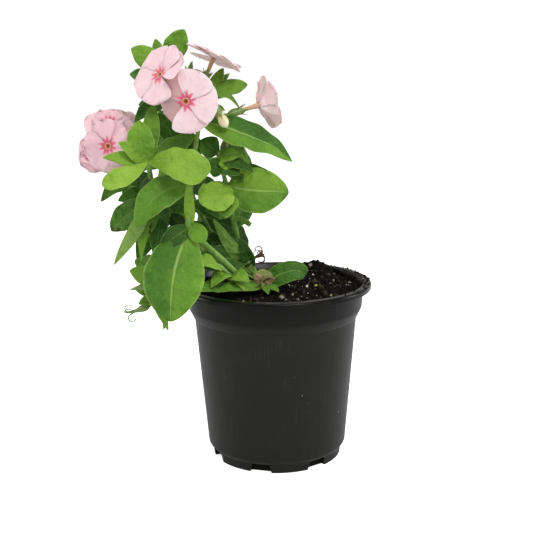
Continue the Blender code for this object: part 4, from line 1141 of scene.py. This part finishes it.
def randomVector(tree, low, high, seed):
    return firstOf(tree, "FunctionNodeRandomValue", {0: low, 1: high, "Seed": seed}, data_type="FLOAT_VECTOR")


# Hairs on stems and calyces

hairs = dict(
    density=3.0e5, length=0.8, width=0.045, lean=0.5, seed=3,
    colour=(0.42, 0.55, 0.26), darker=(0.35, 0.45, 0.22), grain=300.0,
)


def hairTree():
    tree, start, names = newTree("hairs", {
        "Density": "Float", "Length": "Float", "Width": "Float", "Lean": "Float", "Seed": "Int",
        "Material": "Material"})
    lean, seed = start["Lean"], start["Seed"]
    spread = addNode(tree, "GeometryNodeDistributePointsOnFaces", {
        "Mesh": start["Geometry"], "Density": start["Density"], "Seed": seed}).outputs
    hair = firstOf(tree, "GeometryNodeMeshCone", {
        "Vertices": 3, "Side Segments": 1, "Fill Segments": 1, "Radius Top": 0.0,
        "Radius Bottom": start["Width"], "Depth": start["Length"]})
    less = times(tree, lean, -1.0)
    tilt = randomVector(tree, vectorOf(tree, less, less, -3.0), vectorOf(tree, lean, lean, 3.0), seed)
    turned = firstOf(tree, "FunctionNodeRotateRotation", {0: spread["Rotation"], 1: tilt},
                     rotation_space="LOCAL")
    placed = firstOf(tree, "GeometryNodeInstanceOnPoints", {
        "Points": spread["Points"], "Instance": hair, "Rotation": turned,
        "Scale": randomNumber(tree, 0.5, 1.2, seed)})
    endTree(tree, placed, start["Material"])
    return tree, names


def hairMaterial():
    material, tree, shader, here = newMaterial("hairPale", Roughness=0.4)
    shine = grainOf(tree, here, hairs["grain"], 1.0)
    drive(tree, shader, Base_Color=blendColour(tree, shine, hairs["colour"], hairs["darker"]))
    return material


def buildHairs(made):
    tree, names = hairTree()
    material = hairMaterial()
    for seed, (node, (_, stalks)) in enumerate(made.items(), hairs["seed"]):
        piece = runTree("hairs_" + node, stalks.data.copy(), tree, names, {
            "Density": hairs["density"], "Length": hairs["length"] * mm, "Width": hairs["width"] * mm,
            "Lean": hairs["lean"], "Seed": seed, "Material": material})
        finishPiece(piece, "foliage")


# Soil, with the pot's measures that its edge follows

pot = dict(
    height=102.0, sides=168, wall=1.4, base=1.6,
    bandRadius=49.6, bandBottom=88.0, bodyTop=83.0, bodyTopRadius=46.5, bodyFoot=7.0, bodyFootRadius=40.0,
    innerFoot=8.5, footRadius=37.2, lipRadius=55.0, lipInner=50.5, lipHeight=3.8,
    notches=7, notchFirst=-105.0, notchFoot=15.5, notchTop=9.5, notchHeight=5.4, notchDepth=8.0,
)
soil = dict(
    level=95.5, rings=96, sectors=260, foot=1.9, gap=0.3,
    mounds=[(24.0, 34.0, 10.5, 9.5), (-13.0, 3.0, 2.0, 16.0),   # x, y, height, spread
            (-30.0, 24.0, 3.0, 12.0), (40.0, 6.0, 2.5, 9.0)],
    lumps=[(9.0, 1.3), (4.0, 1.1), (1.9, 0.7), (0.9, 0.3)],   # size and height of the roughness
    whiteSpots=[(-35.1, -23.3), (-18, -24.3), (12.4, -21.5), (17.4, 21), (22.8, 20.6),
                (18.6, 7.7), (8.1, 5.8)],
    whiteRise=0.3, yellowSpots=[(24, 9.9), (22.7, -15), (-2.1, -32.1)], yellowRise=0.5,
    onLip=dict(count=90, seed=5, radii=(50.7, 54.6), middle=8, spread=24, rise=0.1),   # angles in degrees
)
soilLook = dict(
    shades=[(0.0, (0.0006, 0.0006, 0.0005)), (0.45, (0.003, 0.0026, 0.0018)),
            (0.68, (0.012, 0.0095, 0.006)), (1.0, (0.07, 0.055, 0.035))],
    shadow=(0.004, 0.003, 0.002), shadowShare=0.5, fineScale=900.0, broadScale=160.0,
)
crumbLook = dict(
    dark=[(0.0, (0.001, 0.001, 0.001)), (0.6, (0.003, 0.0026, 0.0018)), (0.93, (0.010, 0.008, 0.005)),
          (0.985, (0.05, 0.04, 0.026)), (1.0, (0.3, 0.26, 0.18))],
    brown=[(0.0, (0.003, 0.002, 0.002)), (0.8, (0.010, 0.007, 0.004)), (1.0, (0.09, 0.055, 0.028))],
    white=[(0.0, (0.22, 0.19, 0.13)), (0.5, (0.45, 0.42, 0.34)), (1.0, (0.72, 0.70, 0.64))],
    yellow=[(0.0, (0.25, 0.27, 0.05)), (1.0, (0.45, 0.45, 0.12))],
    dirt=(0.01, 0.008, 0.005), dirtShare=0.6, dirtScale=1400.0,
)


def grainKind(paint, density, radii, stretch, rough, seed):
    # density: for each square metre, and 0 where spots of its own are given; radii: smallest and largest
    return dict(paint=paint, density=density, radii=radii, stretch=stretch, rough=rough, seed=seed)


grains = dict(
    crumb=grainKind("dark", 3.2e5, (0.3, 1.2), (1.0, 0.8, 0.7), 0.8, 11),
    clod=grainKind("dark", 4.5e4, (1.0, 2.1), (1.0, 0.85, 0.65), 0.9, 23),
    bark=grainKind("brown", 2.2e4, (0.7, 1.5), (2.3, 0.6, 0.35), 0.7, 37),
    grit=grainKind("white", 2.6e4, (0.15, 0.42), (1.0, 0.85, 0.7), 0.7, 51),
    perlite=grainKind("white", 0.0, (0.8, 1.15), (1.0, 0.85, 0.75), 0.6, 61),
    pellet=grainKind("yellow", 0.0, (0.9, 1.2), (1.0, 1.0, 1.0), 0.1, 67),
    rim=grainKind("dark", 0.0, (0.25, 0.7), (1.0, 0.85, 0.7), 0.8, 71),
)


def soilHeight(x, y):
    height = soil["level"]
    for mx, my, tall, spread in soil["mounds"]:
        height += tall * math.exp(-((x - mx) ** 2 + (y - my) ** 2) / (2 * spread ** 2))
    for size, tall in soil["lumps"]:
        height += tall * noise.noise(Vector((x / size, y / size, size * 3.7)))
    return height


def soilMaterial():
    look = soilLook
    material, tree, shader, here = newMaterial("moistSoil", Specular_IOR_Level=0.06)
    fine = grainOf(tree, here, look["fineScale"], 4.0, 0.7)
    broad = grainOf(tree, here, look["broadScale"], 3.0, 0.6)
    colour = ramp(tree, fine, look["shades"])
    colour = blendColour(tree, times(tree, broad, look["shadowShare"]), colour, look["shadow"])
    drive(tree, shader, Base_Color=colour, Roughness=between(tree, fine, 0.2, 0.8, 0.95, 0.7),
          Normal=bumpOf(tree, fine, 0.9, 0.001))
    return material


def crumbMaterial(name, shades, roughness):
    # each grain has one tone of its own
    look = crumbLook
    material, tree, shader, here = newMaterial(name, Roughness=roughness, Specular_IOR_Level=0.08)
    own = addNode(tree, "ShaderNodeAttribute", attribute_name="grainTone").outputs["Fac"]
    fine = grainOf(tree, here, look["dirtScale"], 3.0, 0.6)
    dirty = between(tree, fine, 0.45, 0.75, 0.0, look["dirtShare"])
    colour = blendColour(tree, dirty, ramp(tree, own, look[shades]), look["dirt"])
    drive(tree, shader, Base_Color=colour, Normal=bumpOf(tree, fine, 0.8, 0.0005))
    return material


def scatterTree():
    # lumps of random size strewn on the faces that look up, or set on loose points
    tree, start, names = newTree("scatter", {
        "Density": "Float", "Loose": "Bool", "Smallest": "Float", "Largest": "Float", "Stretch": "Vector",
        "Rough": "Float", "Seed": "Int", "Material": "Material"})
    seed = start["Seed"]
    rise = partsOf(tree, firstOf(tree, "GeometryNodeInputNormal"))[2]
    upward = firstOf(tree, "FunctionNodeCompare", {0: rise, 1: 0.1},
                     data_type="FLOAT", operation="GREATER_THAN")
    spread = firstOf(tree, "GeometryNodeDistributePointsOnFaces", {
        "Mesh": start["Geometry"], "Selection": upward, "Density": start["Density"], "Seed": seed})
    loose = firstOf(tree, "GeometryNodeMeshToPoints", {0: start["Geometry"], "Selection": start["Loose"]})
    spots = addNode(tree, "GeometryNodeJoinGeometry", {0: spread})
    tree.links.new(loose, spots.inputs[0])
    lump = firstOf(tree, "GeometryNodeMeshIcoSphere", {"Radius": 1.0, "Subdivisions": 1})
    place = firstOf(tree, "GeometryNodeInputPosition")
    dents = addNode(tree, "ShaderNodeTexNoise", {"Vector": place, "Scale": 1.7}).outputs[1]
    shift = firstOf(tree, "ShaderNodeVectorMath", {0: dents, 1: (0.5, 0.5, 0.5)}, operation="SUBTRACT")
    shift = firstOf(tree, "ShaderNodeVectorMath", {0: shift, "Scale": start["Rough"]}, operation="SCALE")
    lump = firstOf(tree, "GeometryNodeSetPosition", {"Geometry": lump, "Offset": shift})
    lump = firstOf(tree, "GeometryNodeTransform", {"Geometry": lump, "Scale": start["Stretch"]})
    placed = firstOf(tree, "GeometryNodeInstanceOnPoints", {
        "Points": spots.outputs[0], "Instance": lump,
        "Rotation": randomVector(tree, (0.0, 0.0, 0.0), (6.28, 6.28, 6.28), seed),
        "Scale": randomNumber(tree, start["Smallest"], start["Largest"], seed)})
    placed = firstOf(tree, "GeometryNodeStoreNamedAttribute", {
        0: placed, "Name": "grainTone", "Value": randomNumber(tree, 0.0, 1.0, seed)},
        data_type="FLOAT", domain="INSTANCE")
    endTree(tree, placed, start["Material"])
    return tree, names


def buildGround(earth):
    # up the pot's inner wall, then ring by ring over the top to its middle
    sectors, rings = soil["sectors"], soil["rings"]
    angles = evenAngles(sectors)
    slack = pot["wall"] + soil["gap"]
    wall = [(pot["footRadius"], soil["foot"]), (pot["bodyFootRadius"], pot["innerFoot"]),
            (pot["bodyTopRadius"], pot["bodyTop"]), (pot["bandRadius"], pot["bandBottom"])]
    points = list(np.vstack([ringAt(angles, radius - slack, height) for radius, height in wall]))
    for r in range(rings):
        radius = (pot["bandRadius"] - slack) * (1 - r / rings)
        for a in angles:
            x, y = radius * math.cos(a), radius * math.sin(a)
            points.append((x, y, soilHeight(x, y)))
    points.append((0, 0, soilHeight(0, 0)))
    count = len(wall) + rings
    faces = ringFaces(count, sectors, closed=False) + [tuple(reversed(range(sectors)))]
    last = (count - 1) * sectors
    faces += [(last + i, last + (i + 1) % sectors, last + sectors) for i in range(sectors)]
    stock = newStock()
    addShape(stock, points, faces)
    return finishPiece(buildPiece("soil_fill", stock, [earth]), "soil", "soil")


def buildSoil(earth):
    ground = buildGround(earth)
    tree, names = scatterTree()
    paints = dict(
        dark=crumbMaterial("soilCrumbs", "dark", 0.85), brown=crumbMaterial("barkBits", "brown", 0.8),
        white=crumbMaterial("whiteGrains", "white", 0.8), yellow=crumbMaterial("yellowGrains", "yellow", 0.5))
    lip = soil["onLip"]
    rng = random.Random(lip["seed"])
    strewn = [(rng.uniform(*lip["radii"]), math.radians(rng.gauss(lip["middle"], lip["spread"])))
              for _ in range(lip["count"])]
    spots = dict(
        perlite=[(x, y, soilHeight(x, y) + soil["whiteRise"]) for x, y in soil["whiteSpots"]],
        pellet=[(x, y, soilHeight(x, y) + soil["yellowRise"]) for x, y in soil["yellowSpots"]],
        rim=[(radius * math.cos(a), radius * math.sin(a), pot["height"] + lip["rise"])
             for radius, a in strewn],
    )
    for name, spec in grains.items():
        if name in spots:
            mesh = bpy.data.meshes.new(name)
            mesh.from_pydata([Vector(spot) * mm for spot in spots[name]], [], [])
        else:
            mesh = ground.data.copy()
        smallest, largest = spec["radii"]
        piece = runTree("soil_" + name, mesh, tree, names, {
            "Density": spec["density"], "Loose": name in spots, "Smallest": smallest * mm,
            "Largest": largest * mm, "Stretch": spec["stretch"], "Rough": spec["rough"],
            "Seed": spec["seed"], "Material": paints[spec["paint"]]})
        if name != "bark":
            piece.data.shade_smooth()
        finishPiece(piece, "soil")


# Pot

potLook = dict(
    # band and lip: painted shade, the band under the lip darker than the body and the lip darker still
    colour=(0.0120, 0.0128, 0.0112), band=(0.0046, 0.0050, 0.0042), lip=(0.0016, 0.0017, 0.0014),
    worn=(0.026, 0.028, 0.024), dust=(0.05, 0.038, 0.024), speck=(0.5, 0.5, 0.47),
    wornShare=0.8, dustShare=0.6, roughness=0.32, roughSpread=0.16, wornRough=0.18, lipGloss=0.5,
    streakScale=5.0, swirl=(7.0, 9.0), scuffScale=55.0, fineScale=1800.0, speckScale=130.0, speckArea=26.0,
    speckSize=(0.055, 0.03), bandShadeFrom=(0.0850, 0.0885), lipFrom=(0.0975, 0.0990),   # metres over the floor
    dustFrom=(0.0975, 0.1025), dustSide=(0.0, 0.05),
)


def softened(profile):
    # each corner of the profile eased by its own radius
    points = [np.array(p[:2], float) for p in profile]
    result = [points[0]]
    for i in range(1, len(points) - 1):
        before, here, after = points[i - 1], points[i], points[i + 1]
        ease = profile[i][2]
        near = here + unit(before - here) * min(ease, np.linalg.norm(before - here) * 0.45)
        away = here + unit(after - here) * min(ease, np.linalg.norm(after - here) * 0.45)
        result += list(bezier(near, here, away, 5))
    result.append(points[-1])
    return result


def potProfile():
    # radius, height and the corner's radius, up the outside from the foot's middle and down the inside
    p = pot
    wall, top, under = p["wall"], p["height"], p["height"] - p["lipHeight"]
    foot, footRadius, bodyFoot = p["footRadius"], p["bodyFootRadius"], p["bodyFoot"]
    body, band, lip = p["bodyTopRadius"], p["bandRadius"], p["lipRadius"]
    return softened([
        (0, 0, 0), (foot, 0, 0.6), (foot + 0.4, bodyFoot - 2.2, 0.8), (footRadius, bodyFoot + 0.5, 1.2),
        (body, p["bodyTop"] - 0.8, 0.5), (body + 0.7, p["bodyTop"], 0.5),
        (band - 0.4, p["bandBottom"] - 0.8, 0.7), (band, p["bandBottom"], 0.6),
        (band + 1.0, under, 0.5), (lip, under + 0.4, 0.4), (lip, top - 0.8, 0.4), (lip - 0.9, top, 0.5),
        (p["lipInner"], top, 0.7), (band - wall + 0.5, top - 4.0, 1.0), (band - wall, p["bandBottom"], 0.5),
        (body - wall, p["bodyTop"], 0.5), (footRadius - wall, p["innerFoot"], 0.5),
        (foot - wall, p["base"], 0.5), (0, p["base"], 0),
    ])


def latheTree():
    # the profile's points turned about Z, with notches cut round the foot
    tree, start, names = newTree("lathe", {
        "Sides": "Int", "Notches": "Int", "First": "Float", "Notch Width": "Float", "Notch Taper": "Float",
        "Notch Height": "Float", "Notch Depth": "Float", "Notch Radius": "Float", "Material": "Material"})
    place = firstOf(tree, "GeometryNodeInputPosition")
    size = addNode(tree, "GeometryNodeAttributeDomainSize", {0: start["Geometry"]}).outputs["Point Count"]
    sheet = firstOf(tree, "GeometryNodeMeshGrid", {
        "Size X": 1.0, "Size Y": 1.0, "Vertices X": plus(tree, start["Sides"], 1.0), "Vertices Y": size})
    x, y, z = partsOf(tree, place)
    angle = times(tree, plus(tree, x, 0.5), math.tau)
    row = calc(tree, "ROUND", times(tree, plus(tree, y, 0.5), minus(tree, size, 1.0)))
    read = firstOf(tree, "GeometryNodeSampleIndex", {0: start["Geometry"], "Value": place, "Index": row},
                   data_type="FLOAT_VECTOR")
    profile = partsOf(tree, read)
    turned = vectorOf(tree, times(tree, profile[0], calc(tree, "COSINE", angle)),
                      times(tree, profile[0], calc(tree, "SINE", angle)), profile[2])
    shell = firstOf(tree, "GeometryNodeSetPosition", {"Geometry": sheet, "Position": turned})
    shell = firstOf(tree, "GeometryNodeMergeByDistance", {"Geometry": shell, "Distance": 1e-5})
    # a wedge for each notch, narrower at its top
    box = vectorOf(tree, start["Notch Depth"], start["Notch Width"], times(tree, start["Notch Height"], 2.0))
    wedge = firstOf(tree, "GeometryNodeMeshCube", {"Size": box})
    pull = times(tree, times(tree, y, start["Notch Taper"]), calc(tree, "GREATER_THAN", z, 0.0))
    shift = vectorOf(tree, y=times(tree, pull, -1.0))
    wedge = firstOf(tree, "GeometryNodeSetPosition", {"Geometry": wedge, "Offset": shift})
    circle = firstOf(tree, "GeometryNodeMeshCircle", {
        "Vertices": start["Notches"], "Radius": start["Notch Radius"]})
    index = firstOf(tree, "GeometryNodeInputIndex")
    facing = calc(tree, "DIVIDE", times(tree, index, math.tau), start["Notches"])
    wedges = firstOf(tree, "GeometryNodeInstanceOnPoints", {
        "Points": circle, "Instance": wedge, "Rotation": vectorOf(tree, z=facing)})
    wedges = firstOf(tree, "GeometryNodeTransform", {
        "Geometry": wedges, "Rotation": vectorOf(tree, z=start["First"])})
    cut = firstOf(tree, "GeometryNodeMeshBoolean", {0: shell, 1: wedges}, operation="DIFFERENCE")
    endTree(tree, cut, start["Material"])
    return tree, names


def potMaterial():
    look = potLook
    material, tree, shader, here = newMaterial("potPlastic", Specular_IOR_Level=0.13)
    x, y, z = partsOf(tree, here)
    around, upwards = look["swirl"]
    turn = calc(tree, "ARCTAN2", y, x)
    drawn = vectorOf(tree, times(tree, calc(tree, "COSINE", turn), around),
                     times(tree, calc(tree, "SINE", turn), around), times(tree, z, upwards))
    streaks = grainOf(tree, drawn, look["streakScale"], 4.0, 0.65)
    scuffs = grainOf(tree, here, look["scuffScale"], 5.0, 0.65)
    fine = grainOf(tree, here, look["fineScale"], 2.0)
    wear = times(tree, between(tree, scuffs, 0.50, 0.74), between(tree, streaks, 0.40, 0.70))
    colour = blendColour(tree, times(tree, wear, look["wornShare"]), look["colour"], look["worn"])
    # painted shade: the band under the lip darker than the body, as in the lip's shadow
    colour = blendColour(tree, between(tree, z, *look["bandShadeFrom"]), colour, look["band"])
    # painted shade: the lip darker still than the band; the same share makes it glossier
    lip = between(tree, z, *look["lipFrom"])
    colour = blendColour(tree, lip, colour, look["lip"])
    cells = addNode(tree, "ShaderNodeTexVoronoi", {"Vector": here, "Scale": look["speckScale"]})
    few = between(tree, grainOf(tree, here, look["speckArea"], 2.0), 0.54, 0.60)
    specks = times(tree, between(tree, cells.outputs["Distance"], *look["speckSize"]), few)
    colour = blendColour(tree, specks, colour, look["speck"])
    # soil dust on the lip, most at the right
    dusty = times(tree, between(tree, z, *look["dustFrom"]), between(tree, scuffs, 0.44, 0.66))
    dusty = times(tree, dusty, between(tree, x, *look["dustSide"], 0.2, 1.0))
    colour = blendColour(tree, times(tree, dusty, look["dustShare"]), colour, look["dust"])
    rough = plus(tree, roughOf(tree, streaks, look), times(tree, wear, look["wornRough"]))
    rough = times(tree, rough, minus(tree, 1.0, times(tree, lip, look["lipGloss"])))
    height = plus(tree, times(tree, fine, 0.25), streaks)
    drive(tree, shader, Base_Color=colour, Roughness=rough, Normal=bumpOf(tree, height, 0.12, 0.0006))
    return material


def buildPot(plastic):
    mesh = bpy.data.meshes.new("profile")
    mesh.from_pydata([(r * mm, 0, z * mm) for r, z in potProfile()], [], [])
    tree, names = latheTree()
    p = pot
    piece = runTree("nursery_pot", mesh, tree, names, {
        "Sides": p["sides"], "Notches": p["notches"], "First": math.radians(p["notchFirst"]),
        "Notch Width": p["notchFoot"] * mm, "Notch Taper": 1 - p["notchTop"] / p["notchFoot"],
        "Notch Height": p["notchHeight"] * mm, "Notch Depth": p["notchDepth"] * mm,
        "Notch Radius": (p["footRadius"] + 0.6) * mm, "Material": plastic})
    piece.data.shade_smooth()
    piece.data.set_sharp_from_angle(angle=math.radians(35))
    finishPiece(piece, "pot_plastic", "pot")


# Stage

studio = dict(
    cameraAt=(-4.8, -560.0, 229.0), pitch=11.95, roll=-0.8, focal=67.54, sensor=36.0,
    floor=(0.80, 0.80, 0.80), floorHalf=4, glow=0.72, ambient=0.5, backdrop=1.0,
    aim=(-0.02, 0, 0.12),
    lights=[  # name, place in metres, size in metres, watts
        ("keyLight", (0.45, -1.1, 1.3), (0.7, 0.7), 17.0),
        ("fillLight", (-1.1, -0.8, 0.9), (0.8, 0.8), 2.2),
        ("leftStrip", (-1.3, 0.25, 0.45), (0.3, 1.1), 7.5),
        ("rightStrip", (1.3, 0.25, 0.45), (0.3, 1.1), 9.0),
        ("topLight", (0.0, 0.2, 1.5), (1.0, 1.0), 5.0),
    ],
)


def buildFloor():
    mesh = bpy.data.meshes.new("floor")
    far = studio["floorHalf"]
    mesh.from_pydata([(-far, -far, 0), (far, -far, 0), (far, far, 0), (-far, far, 0)], [], [(0, 1, 2, 3)])
    floor = linked("floor", mesh)
    material = bpy.data.materials.new("paleFloor")
    material.use_nodes = True
    tree = material.node_tree
    shader = tree.nodes["Principled BSDF"]
    shader.inputs["Base Color"].default_value = withAlpha(studio["floor"])
    shader.inputs["Roughness"].default_value = 0.9
    shader.inputs["Specular IOR Level"].default_value = 0.0
    shader.inputs["Emission Color"].default_value = withAlpha((1, 1, 1))
    seen = addNode(tree, "ShaderNodeLightPath").outputs["Is Camera Ray"]
    drive(tree, shader, Emission_Strength=times(tree, seen, studio["glow"]))
    mesh.materials.append(material)


def buildWorld():
    # soft light from all round, and a white backdrop
    world = bpy.data.worlds.new("studio")
    world.use_nodes = True
    tree = world.node_tree
    tree.nodes.clear()
    white = withAlpha((1, 1, 1))
    seen = addNode(tree, "ShaderNodeLightPath").outputs["Is Camera Ray"]
    soft = firstOf(tree, "ShaderNodeBackground", {0: white, 1: studio["ambient"]})
    plain = firstOf(tree, "ShaderNodeBackground", {0: white, 1: studio["backdrop"]})
    mixed = firstOf(tree, "ShaderNodeMixShader", {0: seen, 1: soft, 2: plain})
    addNode(tree, "ShaderNodeOutputWorld", {0: mixed})
    bpy.context.scene.world = world


def buildLights():
    for name, spot, size, power in studio["lights"]:
        lamp = bpy.data.lights.new(name, "AREA")
        lamp.shape = "RECTANGLE"
        lamp.size, lamp.size_y = size
        lamp.energy = power
        light = linked(name, lamp)
        light.location = spot
        aim = Vector(studio["aim"]) - Vector(spot)
        light.rotation_euler = aim.to_track_quat("-Z", "Y").to_euler()


def buildCamera():
    lens = bpy.data.cameras.new("camera")
    lens.lens, lens.sensor_width = studio["focal"], studio["sensor"]
    lens.clip_start, lens.clip_end = 0.01, 20.0
    camera = linked("camera", lens)
    camera.matrix_world = (Matrix.Translation(Vector(studio["cameraAt"]) * mm)
                           @ Matrix.Rotation(math.radians(90 - studio["pitch"]), 4, "X")
                           @ Matrix.Rotation(math.radians(studio["roll"]), 4, "Z"))
    bpy.context.scene.camera = camera
    bpy.context.scene.view_settings.view_transform = "Standard"


print("stems and leaves")
madeStems = buildStems(leafMaterial(), stemMaterial(), calyxMaterial(), driedMaterial())
print("blooms")
buildBlooms(petalMaterial(), eyeMaterial())
buildBud(budMaterial())
print("hairs")
buildHairs(madeStems)
print("soil")
buildSoil(soilMaterial())
print("pot")
buildPot(potMaterial())
print("stage")
buildFloor()
buildWorld()
buildLights()
buildCamera()
